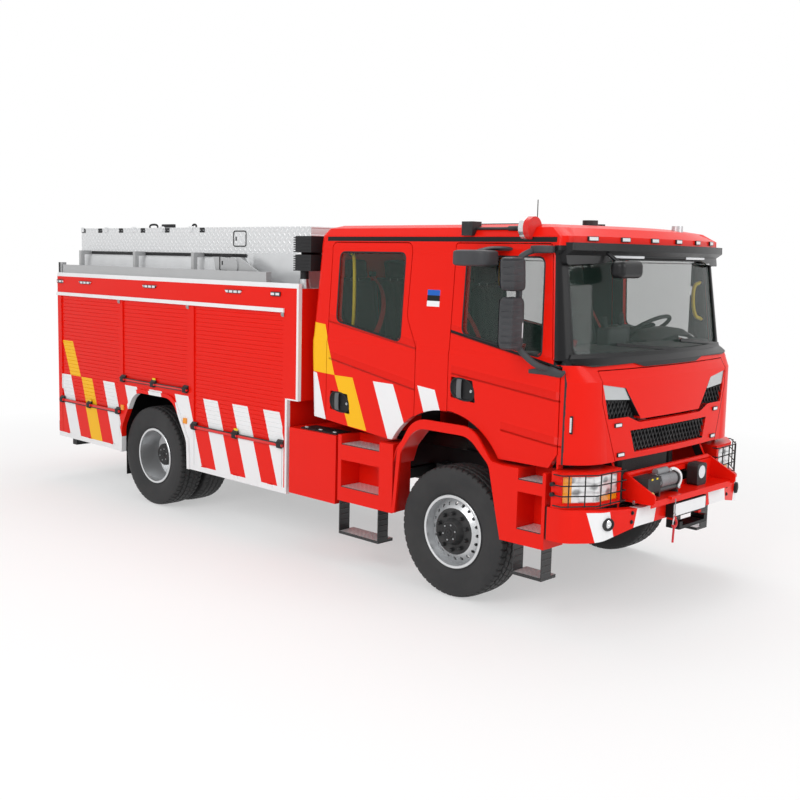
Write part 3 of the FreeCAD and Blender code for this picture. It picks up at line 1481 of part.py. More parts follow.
def body_inside():
    inner = half_width - body_wall - fit_gap
    pieces = []
    for (rear, front) in ((body_rear + body_wall + fit_gap, partitions_x[0]),
                          (partitions_x[1] + partition_wall, body_front_low - body_wall - fit_gap)):
        tray = block(rear, front, locker_back_y, inner, body_bottom, flap_bottom - shutter_recess)
        back = block(rear, front, locker_back_y, locker_back_y + partition_wall, body_bottom,
                     body_top - deck_wall - fit_gap)
        pieces.append(fused([tray, back]))
    return pieces


def body_floor():
    half = locker_back_y - fit_gap
    return block(body_rear + body_wall + fit_gap, body_front_low - body_wall - fit_gap, -half, half,
                 rail_top + fit_gap, rail_top + fit_gap + body_wall)


def arch_liner():
    """The box over the twin wheels, between the two lockers, and the mud flap behind them."""
    rear = partitions_x[0] + fit_gap
    front = partitions_x[1] + partition_wall - fit_gap
    inner = half_width - body_wall - fit_gap
    thin = partition_wall / 2
    shelf = block(rear, front, locker_back_y, inner, body_arch_top + partition_wall, body_arch_top + partition_wall * 2)
    back = block(rear, front, locker_back_y, locker_back_y + thin, rail_top, body_arch_top + partition_wall * 2)
    ends = [block(x, x + thin, locker_back_y, inner, body_bottom, body_arch_top + partition_wall * 2)
            for x in (rear, front - thin)]
    flap = block(rear, rear + mud_flap_wall, mud_flap_inner_y, mud_flap_outer_y, mud_flap_bottom, body_bottom + thin)
    return fused([shelf, back, flap] + ends)


def slats(bottom, top, face):
    """A shutter's section: a thin wall with a groove between one slat and the next."""
    points = [(face - shutter_wall, bottom), (face, bottom)]
    z = bottom + slat_pitch
    while z < top - slat_pitch / 2:
        points += [(face, z - slat_groove / 2), (face - slat_groove_depth, z), (face, z + slat_groove / 2)]
        z += slat_pitch
    return points + [(face, top), (face - shutter_wall, top)]


def shutter_bar(rear, front, bottom):
    """The lift bar along a shutter's foot, held by a bracket at each end and one in the middle."""
    low = half_width + fit_gap
    bar = block(rear - bar_overhang, front + bar_overhang, low, half_width + bar_stand, bottom, bottom + bar_height)
    brackets = []
    for x in (rear - bar_overhang, (rear + front - bracket_length) / 2, front + bar_overhang - bracket_length):
        outline = [(low, bottom), (half_width + bracket_stand, bottom, bracket_round),
                   (half_width + bracket_stand, bottom + bracket_height / 2, bracket_round), (low, bottom + bracket_height)]
        brackets.append(cross_plate(outline, x, x + bracket_length))
    return fused([bar] + brackets)


def body_ends():
    clear = half_width - body_wall - fit_gap
    front_wall = block(body_front - body_wall, body_front, -clear, clear, body_step_z + body_wall, body_top)
    low_wall = block(body_front_low - body_wall, body_front_low, -clear, clear, rail_top + body_wall, body_step_z)
    shelf = block(body_front_low - body_wall, body_front, -clear, clear, body_step_z, body_step_z + body_wall)
    rear_wall = block(body_rear, body_rear + body_wall, -clear, clear, body_bottom, body_top)
    rear_wall = rear_wall.cut(block(body_rear - overrun, body_rear + overrun / 4, -rear_shutter_half, rear_shutter_half,
                                    rear_shutter_bottom, shutter_top))
    return fused([front_wall, low_wall, shelf]), rear_wall


def shutters():
    curtains = []
    bars = []
    face = half_width - shutter_recess
    for rear, front, bottom, top in shutter_openings():
        curtains += both(cross_plate(slats(bottom, top - fit_gap, face), rear + fit_gap, front - fit_gap))
        bars += both(shutter_bar(rear, front, bottom))
    half = rear_shutter_half - fit_gap
    section = [(body_rear + half_width - y, z) for y, z in slats(rear_shutter_bottom, shutter_top - fit_gap, face)]
    curtains.append(side_plate(section, -half, half))
    keep("shutters", curtains)
    keep("shutter_bars", bars)


def superstructure():
    keep("body_sides", both(body_side()))
    clear = half_width - body_wall - fit_gap
    deck = block(body_rear + body_wall + fit_gap, body_front - body_wall - fit_gap, -clear, clear,
                 body_top - deck_wall, body_top)
    deck = deck.cut(rod(V(mast_x, mast_y, body_top - deck_wall - fit_gap), V(mast_x, mast_y, body_top + fit_gap),
                        mast_outer_radius + fit_gap))
    keep("body_deck_and_ends", deck, body_ends())
    keep("body_lockers", [both(piece) for piece in body_inside()], body_floor())
    keep("arch_liners", both(arch_liner()))
    shutters()
    for place, (rear, front, bottom, top) in zip(("rear", "front"), flap_openings()):
        flap = block(rear + door_gap, front - door_gap, half_width - flap_wall, half_width, bottom + fit_gap, top - door_gap)
        flap = flap.cut(Part.makeCompound([flap_barrel(x, lid_play) for x in flap_hinge_xs(rear, front)]))
        keep("flap_%s_left" % place, flap)
        keep("flap_%s_right" % place, mirrored(flap))
    edge = block(body_rear, body_front, half_width - body_wall, half_width, body_top + fit_gap, body_top + roof_cap_height)
    drip = block(body_rear, body_front_low - drip_end, half_width + fit_gap, half_width + drip_stand, drip_bottom, drip_top)
    keep("body_trims", both(edge), both(drip))


# Lamps on the body and bumper
flasher_xs = (-5565, -4245, -2801)
flasher_length = 260
flasher_height = 30
flasher_z = 2371
flasher_slant = 24
corner_strobe_xs = (-6135, -2166)
corner_strobe_length = 130
corner_strobe_height = 40
lamp_stand = 14
marker_places = ((-4794, 1012), (-3604, 1007))
marker_size = 56
tail_lamp_y = 1010
tail_lamp_width = 190
tail_lamp_heights = ((700, 820), (840, 960), (2270, 2360))
work_lamp_y = 262
work_lamp_x = 1318
work_lamp_length = 92
work_lamp_height = 178
work_lamp_width = 150
work_lamp_round = 26


def body_lamps():
    low = half_width + fit_gap
    high = half_width + lamp_stand
    pieces = []
    for x in flasher_xs:
        half = flasher_length / 2
        z = flasher_z - flasher_height / 2
        pieces += both(side_plate([(x - half, z + flasher_height), (x - half + flasher_slant, z), (x + half - flasher_slant, z),
                                   (x + half, z + flasher_height)], low, high))
    for x in corner_strobe_xs:
        pieces += both(block(x - corner_strobe_length / 2, x + corner_strobe_length / 2, low, high,
                             flasher_z - corner_strobe_height / 2, flasher_z + corner_strobe_height / 2))
    for x, z in marker_places:
        pieces += both(block(x - marker_size / 2, x + marker_size / 2, low, high, z - marker_size / 2, z + marker_size / 2))
    for bottom, top in tail_lamp_heights:
        pieces += both(block(body_rear - lamp_stand, body_rear - fit_gap, tail_lamp_y, tail_lamp_y + tail_lamp_width,
                             bottom, top))
    fog = rod(V(fog_x - bumper_wall / 2 + fit_gap, fog_y, fog_z), V(fog_x + lamp_stand, fog_y, fog_z), fog_radius - fit_gap)
    pieces += both(fog)
    work = block(work_lamp_x - work_lamp_length / 2, work_lamp_x + work_lamp_length / 2, work_lamp_y - work_lamp_width / 2,
                 work_lamp_y + work_lamp_width / 2, tray_z + fit_gap, tray_z + fit_gap + work_lamp_height)
    pieces.append(work.makeFillet(work_lamp_round, [edge for edge in work.Edges if abs(edge.tangentAt(0).x) > 1 - fit_gap]))
    keep("body_lamps", pieces)


# Roof boxes, rack and light mast
box_side_y = -950
box_inner_y = -230
box_rear = -6190
box_join = -3690
box_front = -2050
box_bottom = 2739
box_top = 3000
box_wall = 12
lid_wall = 12
lid_hinge_xs = (-6150, -5625, -5050, -4490, -3950)
lid_hinge_length = 60
lid_hinge_height = 44
lid_hinge_radius = 13
lid_play = 2
rack_panel_wall = 14
rack_panel_y = -985
rack_posts_x = (-5910, -4760, -3670)
rack_post_y = -1112
rack_post_size = 46
rack_rail_y = -1205
rack_rail_width = 64
rack_rail_rear = -6130
rack_rail_front = -2355
rack_rail_top = 2568
rack_lug_x = -6235
rack_lug_length = 70
rack_lug_height = 120
fitting_rear = -3330
fitting_front = -2560
fitting_top = 2700
fitting_wall = 22
fitting_disc_x = -3010
fitting_disc_radius = 88
side_rail_half = 30
side_rail_height = 90


def roof_box():
    outer = block(box_rear, box_join, box_side_y, box_inner_y, box_bottom, box_top - lid_wall - fit_gap)
    inner = block(box_rear + box_wall, box_join - box_wall, box_side_y + box_wall, box_inner_y - box_wall,
                  box_bottom + box_wall, box_top)
    front = block(box_join + fit_gap, box_front, box_side_y, box_inner_y, box_bottom, box_top)
    hinges = []
    for x in lid_hinge_xs:
        leaf = block(x - lid_hinge_length / 2, x + lid_hinge_length / 2, box_side_y - lid_hinge_radius, box_side_y,
                     box_top - lid_hinge_height, box_top)
        hinges.append(leaf.fuse(lid_barrel(x, 0)))
    return fused([outer.cut(inner)] + hinges), front


def lid_barrel(x, clear):
    """A hinge's barrel on the lid's axis."""
    half = lid_hinge_length / 2 + clear
    return rod(V(x - half, box_side_y, box_top), V(x + half, box_side_y, box_top), lid_hinge_radius + clear)


def box_lid():
    lid = block(box_rear, box_join, box_side_y, box_inner_y, box_top - lid_wall, box_top)
    return lid.cut(Part.makeCompound([lid_barrel(x, lid_play) for x in lid_hinge_xs]))


def rack():
    """Panels under the boxes, the outer rail, its posts and the ladder fitting on the right; a low rail on the left."""
    deck = body_top + fit_gap
    under = box_bottom - fit_gap
    plinth = block(box_rear + box_wall, box_front, rack_panel_y, rack_panel_y + rack_panel_wall, deck, under)
    far = block(box_rear + box_wall, box_front, box_inner_y - rack_panel_wall, box_inner_y, deck, under)
    shelf = block(box_rear + box_wall, box_front, rack_panel_y, box_inner_y, under - rack_panel_wall, under)
    ends = [block(x, x + rack_panel_wall, rack_panel_y, box_inner_y, deck, under)
            for x in (box_rear + box_wall, box_front - rack_panel_wall)]
    half = rack_post_size / 2
    rail_base = body_top + roof_cap_height + fit_gap
    rail = block(rack_rail_rear, rack_rail_front, rack_rail_y - rack_rail_width / 2, rack_rail_y + rack_rail_width / 2,
                 rail_base, rack_rail_top)
    posts = []
    for x in rack_posts_x:
        posts.append(block(x - half, x + half, rack_post_y - half, rack_post_y + half, rail_base, under))
        posts.append(block(x - half, x + half, rack_rail_y, rack_post_y, rail_base, rail_base + rack_post_size))
        posts.append(block(x - half, x + half, rack_post_y - half, rack_panel_y, under - rack_post_size, under))
    arm = side_plate([(fitting_rear, fitting_top), (fitting_rear + 3 * fitting_wall, rail_base), (fitting_front, rail_base),
                      (fitting_front, rail_base + 3 * fitting_wall), (fitting_disc_x + fitting_disc_radius, fitting_top),
                      (fitting_disc_x, fitting_top - 2 * fitting_wall), (fitting_rear + 5 * fitting_wall, fitting_top)],
                     rack_post_y - fitting_wall / 2, rack_post_y + fitting_wall / 2)
    disc_z = fitting_top - fitting_disc_radius
    disc = rod(V(fitting_disc_x, rack_post_y - fitting_wall, disc_z), V(fitting_disc_x, rack_panel_y, disc_z),
               fitting_disc_radius)
    foot = block(fitting_rear + 3 * fitting_wall, fitting_front, rack_rail_y, rack_post_y + fitting_wall / 2, rail_base,
                 rail_base + fitting_wall)
    lug = block(rack_lug_x, rack_lug_x + rack_lug_length, rack_rail_y - rack_rail_width / 2, rack_rail_y + rack_rail_width / 2,
                rail_base, rail_base + rack_lug_height)
    left = block(box_rear, box_front, -rack_rail_y - side_rail_half, -rack_rail_y + side_rail_half, rail_base,
                 rail_base + side_rail_height)
    tail = block(rack_lug_x + rack_lug_length, rack_rail_rear, rack_rail_y - rack_panel_wall, rack_rail_y + rack_panel_wall,
                 rail_base, rail_base + rack_post_size)
    return [fused([plinth, far, shelf] + ends + [rail] + posts + [arm, disc, foot, lug, tail]), left]


def roof_gear():
    keep("roof_boxes", roof_box())
    keep("roof_box_lid", box_lid())
    keep("roof_rack", rack())


mast_x = -1955
mast_y = -1110
mast_outer_radius = 62
mast_stage_wall = 7
mast_play = 0.5
mast_top = 2450
mast_stage_rise = 32
mast_head_bottom = 2590
mast_head_top = 2905
mast_head_rear = 55
mast_head_front = 185
mast_head_right = 90
mast_head_left = 160
mast_lamp_gap = 22
mast_fin_count = 7
mast_fin_depth = 26


def flood_lamp(bottom, top):
    """A lamp head with cooling fins across its back."""
    body = block(mast_x - mast_head_rear + mast_fin_depth, mast_x + mast_head_front, mast_y - mast_head_right,
                 mast_y + mast_head_left, bottom, top)
    pitch = (top - bottom) / mast_fin_count
    fins = [block(mast_x - mast_head_rear, mast_x + mast_head_rear, mast_y - mast_head_right, mast_y + mast_head_left,
                  bottom + index * pitch, bottom + (index + 0.5) * pitch) for index in range(mast_fin_count)]
    return [body] + fins


def mast():
    """Nested tubes: each stands a little higher than the one round it, and the last carries the lamps."""
    foot = body_step_z + body_wall + fit_gap
    top = mast_top
    radius = mast_outer_radius
    for name in ("mast_base", "mast_stage_lower", "mast_stage_upper"):
        keep(name, tube(V(mast_x, mast_y, foot), V(mast_x, mast_y, top), radius, radius - mast_stage_wall))
        radius -= mast_stage_wall + mast_play
        foot += mast_stage_wall
        top += mast_stage_rise
    middle = (mast_head_bottom + mast_head_top) / 2
    inner = rod(V(mast_x, mast_y, foot), V(mast_x, mast_y, middle), radius)
    lamps = flood_lamp(mast_head_bottom, middle - mast_lamp_gap / 2) + flood_lamp(middle + mast_lamp_gap / 2, mast_head_top)
    yoke = block(mast_x, mast_x + mast_head_rear, mast_y - mast_head_right, mast_y + mast_head_left,
                 middle - mast_lamp_gap, middle + mast_lamp_gap)
    keep("mast_head", fused([inner, yoke] + lamps))


# Rear end
rear_bumper_height = 120
rear_bumper_bottom = 560
rear_bumper_inset = 30
underrun_bottom = 392
underrun_height = 100
underrun_depth = 90
underrun_half = 1120
underrun_hanger = 70


def rear_end():
    """The bumper across the back, and the underrun beam that hangs from the frame's rails."""
    beam = block(-rear_reach, body_rear - fit_gap, -half_width + rear_bumper_inset, half_width - rear_bumper_inset,
                 rear_bumper_bottom, rear_bumper_bottom + rear_bumper_height)
    front = rail_rear + underrun_depth
    bar = block(rail_rear, front, -underrun_half, underrun_half, underrun_bottom, underrun_bottom + underrun_height)
    hangers = both(block(rail_rear, rail_rear + underrun_hanger, rail_outer_y - underrun_hanger, rail_outer_y,
                         underrun_bottom, rail_top - rail_height - fit_gap))
    keep("rear_bumper", beam, fused([bar] + hangers))


# Mirrors
mirror_x = 600
mirror_inner_y = 1290
mirror_outer_y = 1500
mirror_depth = 120
main_bottom = 2070
main_top = 2460
wide_bottom = 2500
wide_top = 2750
mirror_arm = 24
mirror_foot_x = 870
mirror_foot_z = 1935
mirror_pivot_x = 740
mirror_pivot_z = 2805


mirror_taper_share = 0.86
mirror_round = 30
kerb_front_x = 430
kerb_rear_x = 80
kerb_bottom = 2672
kerb_top = 2800
kerb_inner_y = 1236
kerb_outer_y = 1450
kerb_arm_z = 2812
pivot_length = 190
pivot_width = 70
pivot_height = 46


def mirror_head(bottom, top):
    """A housing that is narrower at its back and rounded along its edges."""
    middle = (mirror_inner_y + mirror_outer_y) / 2
    half = (mirror_outer_y - mirror_inner_y) / 2
    plan = [(mirror_x, middle - half), (mirror_x, middle + half), (mirror_x + mirror_depth, middle + half * mirror_taper_share),
            (mirror_x + mirror_depth, middle - half * mirror_taper_share)]
    head = level_plate(plan, bottom, top)
    front = [edge for edge in head.Edges if edge.CenterOfMass.x > mirror_x + mirror_depth * mirror_taper_share]
    return head.makeFillet(mirror_round, front)


def door_mirrors():
    stem_x = mirror_x + mirror_depth / 2
    stem_y = mirror_inner_y + mirror_round
    heads = [mirror_head(main_bottom, main_top), mirror_head(wide_bottom, wide_top)]
    post = rod(V(stem_x, stem_y, main_bottom + mirror_round), V(stem_x, stem_y, wide_top - mirror_round), mirror_arm)
    foot = rod(V(mirror_foot_x, cab_half_width, mirror_foot_z), V(stem_x, stem_y, main_bottom + mirror_round), mirror_arm)
    base = rod(V(mirror_foot_x, cab_half_width - mirror_arm, mirror_foot_z),
               V(mirror_foot_x, cab_half_width + mirror_arm, mirror_foot_z), mirror_arm * 1.5)
    top = rod(V(mirror_pivot_x, cab_half_width - mirror_depth / 2, mirror_pivot_z),
              V(stem_x, stem_y, wide_top - mirror_round), mirror_arm)
    cap = block(mirror_pivot_x - pivot_length / 2, mirror_pivot_x + pivot_length / 2, cab_half_width - 2 * pivot_width,
                cab_half_width - pivot_width / 4, mirror_pivot_z - pivot_height / 2, mirror_pivot_z + pivot_height / 2)
    return fused(heads + [post, foot, base, top, cap]).cut(cab_body(-fit_gap))


def kerb_mirror():
    """The mirror that looks down at the kerb, on the side away from the driver."""
    head = level_plate([(kerb_rear_x, kerb_inner_y, mirror_round), (kerb_rear_x, kerb_outer_y, mirror_round),
                        (kerb_front_x, kerb_outer_y - mirror_round, mirror_round), (kerb_front_x, kerb_inner_y, mirror_round)],
                       kerb_bottom, kerb_top)
    head = head.makeFillet(mirror_round, [edge for edge in head.Edges
                                          if abs(edge.CenterOfMass.z - kerb_top) < fit_gap])
    arm = rod(V(kerb_front_x, cab_half_width - mirror_depth, kerb_arm_z),
              V(kerb_front_x - mirror_depth, kerb_inner_y + mirror_depth / 2, kerb_top - mirror_arm), mirror_arm)
    return fused([head, arm]).cut(cab_body(-fit_gap))


def mirrors():
    pair = door_mirrors()
    keep("mirrors_left", [sorted(pair.Solids, key=lambda solid: solid.Volume)[-1]])
    kerb = sorted(kerb_mirror().Solids, key=lambda solid: solid.Volume)[-1]
    keep("mirrors_right", [mirrored(sorted(pair.Solids, key=lambda solid: solid.Volume)[-1]), mirrored(kerb)])


def save():
    os.makedirs("parts", exist_ok=True)
    shift = V((rear_reach - front_reach) / 2, 0, 0)
    for name, shape in parts.items():
        moved = shape.copy()
        moved.translate(shift)
        moved.exportStep("parts/" + name + ".step")


def main():
    wheels()
    steering()
    chassis()
    front_end()
    running_boards()
    cab()
    front_trim()
    cab_roof()
    interior()
    superstructure()
    roof_gear()
    body_lamps()
    mast()
    rear_end()
    mirrors()
    save()


main()
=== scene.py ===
import math
import bpy
import numpy as np
from mathutils import Matrix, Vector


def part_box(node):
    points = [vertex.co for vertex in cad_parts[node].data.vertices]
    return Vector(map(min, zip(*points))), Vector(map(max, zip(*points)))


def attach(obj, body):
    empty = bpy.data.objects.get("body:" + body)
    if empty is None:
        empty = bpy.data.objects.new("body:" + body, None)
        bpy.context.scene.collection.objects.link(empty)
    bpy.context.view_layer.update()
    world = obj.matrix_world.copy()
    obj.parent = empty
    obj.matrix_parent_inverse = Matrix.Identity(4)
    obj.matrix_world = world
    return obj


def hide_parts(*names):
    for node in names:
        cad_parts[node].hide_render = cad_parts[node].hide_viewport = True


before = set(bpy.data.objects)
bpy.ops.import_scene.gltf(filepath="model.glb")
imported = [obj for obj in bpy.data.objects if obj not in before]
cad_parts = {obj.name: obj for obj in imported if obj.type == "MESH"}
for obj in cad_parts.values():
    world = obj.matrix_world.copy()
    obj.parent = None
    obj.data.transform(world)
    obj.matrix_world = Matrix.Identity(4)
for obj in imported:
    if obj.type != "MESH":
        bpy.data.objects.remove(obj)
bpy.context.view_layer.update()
frontAxle = 2.4  # metres ahead of the frame's origin; every other x is measured from it
wheelbase = 4.25
wheelZ = 0.538
sides = (("left", 1), ("right", -1))
print("frame loaded")


def linked(name, data):
    piece = bpy.data.objects.new(name, data)
    bpy.context.collection.objects.link(piece)
    return piece


# an object's place, from its own three directions and its spot
def stand(piece, right, up, back, spot):
    rows = np.eye(4)
    rows[:3] = np.column_stack([right, up, back, spot])
    piece.matrix_world = Matrix(rows.tolist())


# camera, at the photograph's angle: where it stands, how it turns in degrees, and the picture in pixels
view = {"at": (5.497, -7.71, 2.737), "yaw": 45.417, "pitch": 7.125, "roll": 1.077, "focal": 1074.2,
        "centreX": 360, "centreY": 390, "picture": 800, "sensor": 36, "reach": 200}


def placeCamera():
    yaw, pitch, roll = (math.radians(view[key]) for key in ("yaw", "pitch", "roll"))
    ahead = np.array([-math.sin(yaw) * math.cos(pitch), math.cos(yaw) * math.cos(pitch), -math.sin(pitch)])
    level = np.array([math.cos(yaw), math.sin(yaw), 0.0])
    above = np.cross(level, ahead)
    lens = bpy.data.cameras.new("camera")
    lens.sensor_width = view["sensor"]
    lens.lens = view["focal"] * view["sensor"] / view["picture"]
    lens.shift_x = 0.5 - view["centreX"] / view["picture"]
    lens.shift_y = view["centreY"] / view["picture"] - 0.5
    lens.clip_end = view["reach"]
    camera = linked("camera", lens)
    right = math.cos(roll) * level + math.sin(roll) * above
    up = math.cos(roll) * above - math.sin(roll) * level
    stand(camera, right, up, -ahead, np.array(view["at"]) + (frontAxle, 0, 0))
    bpy.context.scene.camera = camera


placeCamera()
print("camera placed")

# the winch's rope, out of its fairlead and straight down to the hook, and the pull strap under the hook
ropes = {
    "winchRope": {"route": [(1.4475, -0.31, 0.95), (1.4555, -0.31, 0.946), (1.4575, -0.3105, 0.925),
                            (1.4575, -0.311, 0.87), (1.4575, -0.311, 0.818)], "length": 0.1382,
                  "diameter": 0.009},
    "pullStrap": {"route": [(1.4575, -0.315, 0.732), (1.4575, -0.3155, 0.70), (1.457, -0.318, 0.65),
                            (1.4565, -0.321, 0.592)], "length": 0.1402, "diameter": 0.017},
}


def layRope(name, plan):
    line = bpy.data.curves.new(name, "CURVE")
    line.dimensions = "3D"
    spline = line.splines.new("NURBS")
    spline.points.add(len(plan["route"]) - 1)
    for point, (x, y, z) in zip(spline.points, plan["route"]):
        point.co = (x + frontAxle, y, z, 1)
        point.radius = plan["diameter"] / 2
    spline.order_u = 3
    spline.use_endpoint_u = True
    line.bevel_depth, line.bevel_resolution, line.resolution_u = 1.0, 4, 8
    piece = linked(name, line)
    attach(piece, "chassis")
    return piece


for name, plan in ropes.items():
    plan["piece"] = layRope(name, plan)
print("ropes laid")


# a shader value that answers to the signs of arithmetic; each sign adds a Math node
class Wire:
    def __init__(self, finish, socket):
        self.finish, self.socket = finish, socket

    def calc(self, operation, *values, clamp=False):
        return self.finish.node("ShaderNodeMath", {"operation": operation, "use_clamp": clamp},
                                list(values))[0]

    def __add__(self, other):
        return self.calc("ADD", self, other)

    def __sub__(self, other):
        return self.calc("SUBTRACT", self, other)

    def __rsub__(self, other):
        return self.calc("SUBTRACT", other, self)

    def __mul__(self, other):
        return self.calc("MULTIPLY", self, other)

    def __truediv__(self, other):
        return self.calc("DIVIDE", self, other)

    def __gt__(self, other):
        return self.calc("GREATER_THAN", self, other)

    def __lt__(self, other):
        return self.calc("LESS_THAN", self, other)

    def __abs__(self):
        return self.calc("ABSOLUTE", self)

    __radd__ = __add__
    __rmul__ = __mul__

    def low(self, other):
        return self.calc("MINIMUM", self, other)

    def high(self, other):
        return self.calc("MAXIMUM", self, other)

    def wave(self, pitch):  # runs from 0 to 1 over each pitch
        return self.calc("FRACT", self / pitch)

    def sine(self):
        return self.calc("SINE", self)

    def root(self):
        return self.calc("SQRT", self)

    def floor(self):
        return self.calc("FLOOR", self)

    def within(self, low, high):  # 1 between two values
        return (self > low) * (self < high)

    def near(self, middle, half):  # 1 within half on either side of a middle
        return abs(self - middle) < half

    def ramp(self, low, high):  # rises from 0 to 1 between two values
        return self.calc("MULTIPLY", self - low, 1 / (high - low), clamp=True)


# one material: its nodes, its place on the object and its surface
class Finish:
    sockets = {"color": "Base Color", "rough": "Roughness", "metal": "Metallic", "coat": "Coat Weight",
               "coatRough": "Coat Roughness", "alpha": "Alpha", "normal": "Normal", "ior": "IOR",
               "sheen": "Sheen Weight", "shine": "Specular IOR Level"}

    def __init__(self, name):
        self.material = bpy.data.materials.new(name)
        self.material.use_nodes = True
        self.tree = self.material.node_tree
        self.tree.nodes.clear()
        self.surface = self.tree.nodes.new("ShaderNodeBsdfPrincipled")
        self.output = self.tree.nodes.new("ShaderNodeOutputMaterial")
        self.tree.links.new(self.surface.outputs[0], self.output.inputs[0])
        self.spot = self.node("ShaderNodeTexCoord", {}, [], "Object")
        self.x, self.y, self.z = self.node("ShaderNodeSeparateXYZ", {}, [self.spot])
        self.along = self.x - frontAxle

    def node(self, kind, settings, values, output=None):
        made = self.tree.nodes.new(kind)
        for key, value in settings.items():
            setattr(made, key, value)
        pairs = values.items() if isinstance(values, dict) else enumerate(values)
        for key, value in pairs:
            self.link(made.inputs[key], value)
        if output is not None:
            return Wire(self, made.outputs[output])
        return [Wire(self, socket) for socket in made.outputs]

    def link(self, socket, value):
        if isinstance(value, Wire):
            self.tree.links.new(value.socket, socket)
        elif socket.type == "RGBA" and len(value) == 3:
            socket.default_value = (*value, 1)
        else:
            socket.default_value = value

    def facing(self):  # the surface's normal in the object's own axes, so that it holds at every pose
        way = self.node("ShaderNodeNewGeometry", {}, [], "Normal")
        turn = {"vector_type": "NORMAL", "convert_from": "WORLD", "convert_to": "OBJECT"}
        way = self.node("ShaderNodeVectorTransform", turn, [way], 0)
        return self.node("ShaderNodeSeparateXYZ", {}, [way])

    def mix(self, factor, first, second):
        values = {0: factor, 6: first, 7: second}
        return self.node("ShaderNodeMix", {"data_type": "RGBA"}, values, 2)

    def noise(self, scale, detail=2.0, stretch=None):
        spot = self.spot
        if stretch:
            spot = self.node("ShaderNodeMapping", {}, {"Vector": spot, "Scale": stretch}, 0)
        return self.node("ShaderNodeTexNoise", {}, {"Vector": spot, "Scale": scale, "Detail": detail}, 0)

    def bump(self, height, distance, strength=1.0):
        values = {"Height": height, "Distance": distance, "Strength": strength}
        return self.node("ShaderNodeBump", {}, values, "Normal")

    def set(self, **values):
        for key, value in values.items():
            self.link(self.surface.inputs[self.sockets[key]], value)
        return self.material


def anyOf(masks):
    found = None
    for mask in masks:
        found = mask if found is None else found.high(mask)
    return found


fullTurn = 6.283  # radians


# 1 in a convex patch whose corners run round it: it lies on the inner side of each edge
def patch(x, z, corners):
    edges = list(zip(corners, corners[1:] + corners[:1]))
    turn = 1 if sum(a[0] * b[1] - b[0] * a[1] for a, b in edges) > 0 else -1
    inside = 1.0
    for (ax, az), (bx, bz) in edges:
        runX, runZ = (bx - ax) * turn, (bz - az) * turn
        inside = ((z * runX - x * runZ) > (runX * az - runZ * ax)) * inside
    return inside


def shaded(color, share):
    return tuple(part * share for part in color)


def lightened(color, share, lift):
    return tuple(min(1, part * share + lift) for part in color)


colours = {"red": (0.8, 0.011, 0.004), "white": (0.84, 0.85, 0.86), "yellow": (0.93, 0.5, 0.012),
           "black": (0.012, 0.012, 0.013), "softBlack": (0.014, 0.014, 0.015), "grey": (0.11, 0.115, 0.12),
           "aluminium": (0.72, 0.73, 0.74), "amber": (0.9, 0.32, 0.01), "lensRed": (0.6, 0.01, 0.01),
           "tailRed": (0.62, 0.01, 0.008), "lit": (0.8, 0.82, 0.84), "clear": (0.85, 0.87, 0.9),
           "mirror": (0.75, 0.77, 0.8), "chrome": (0.7, 0.71, 0.72), "flagBlue": (0.02, 0.12, 0.5)}

# stickers on the body: slanted bands over the shutters and flaps, and a pale line along its edges
livery = {"side": 1.2, "top": 1.268, "bottom": 0.565, "pitch": 0.4785, "band": 0.24, "slope": 0.335,
          "start": -2.361, "rear": -6.135, "front": -2.04, "yellow": (-5.75, -5.44), "upperTop": 1.673,
          "upperSlope": 0.43, "upper": (-5.955, -5.72), "edge": 0.026, "upperEnd": -1.85, "lowerEnd": -2.0,
          "shelf": (1.385, 1.412), "cornerTop": 1.41, "spare": 20}


def bodyLayers(f):
    side = abs(f.y) > livery["side"]
    lean = f.along - (livery["top"] - f.z) * livery["slope"]
    # a few spare pitches keep the count above zero
    count = (lean - livery["start"] + livery["pitch"] * livery["spare"]).wave(livery["pitch"])
    band = f.z.within(livery["bottom"], livery["top"]) * f.along.within(livery["rear"], livery["front"])
    band = band * (count < livery["band"] / livery["pitch"])
    isYellow = lean.within(*livery["yellow"])
    lift = f.along + (f.z - livery["top"]) * livery["upperSlope"]
    upper = lift.within(*livery["upper"]) * f.z.within(livery["top"], livery["upperTop"])
    upper = upper * (f.along > livery["rear"])
    edges = anyOf([f.z < livery["bottom"],
                   (f.along > livery["upperEnd"] - livery["edge"]) * (f.z > livery["shelf"][0]),
                   (f.along > livery["lowerEnd"] - livery["edge"]) * (f.z < livery["cornerTop"]),
                   (f.along > livery["lowerEnd"]) * f.z.within(*livery["shelf"])])
    return [(side * (band * isYellow).high(upper), colours["yellow"]),
            (side * (band * (1 - isYellow)).high(edges), colours["white"])]


# stickers, flag and black parts of the cab, and where its skin ends and the trim begins
cab = {"side": 1.08,
       "yellow": [[(-1.761, 2.141), (-1.566, 2.124), (-1.42, 1.681), (-1.75, 1.697)],
                  [(-1.42, 1.681), (-1.19, 1.679), (-1.007, 1.231), (-1.238, 1.247)]],
       "white": [[(-1.80, 1.70), (-1.652, 1.683), (-1.50, 1.19), (-1.80, 1.19)],
                 [(-0.938, 1.672), (-0.701, 1.669), (-0.52, 1.25), (-0.742, 1.18)],
                 [(-0.424, 1.688), (-0.232, 1.669), (-0.16, 1.475), (-0.335, 1.44)]],
       "flag": (-0.37, -0.235), "flagTop": 2.475, "flagBand": 0.045,
       "above": (2.862, 2.9), "aboveX": (-1.6, 0.86), "belt": (0.004, 0.026),
       "pillarX": 0.915, "pillar": (1.97, 2.84), "pillarFoot": 1.986, "pillarSlope": 0.0842,
       "skin": 1.205, "skinFoot": 2.015, "skinSlope": 0.0662, "skinMost": 1.215, "wall": 0.022,
       "rear": -1.73, "roof": 2.93, "ceiling": 2.75, "back": -1.5, "trim": (0.035, 0.036, 0.039)}
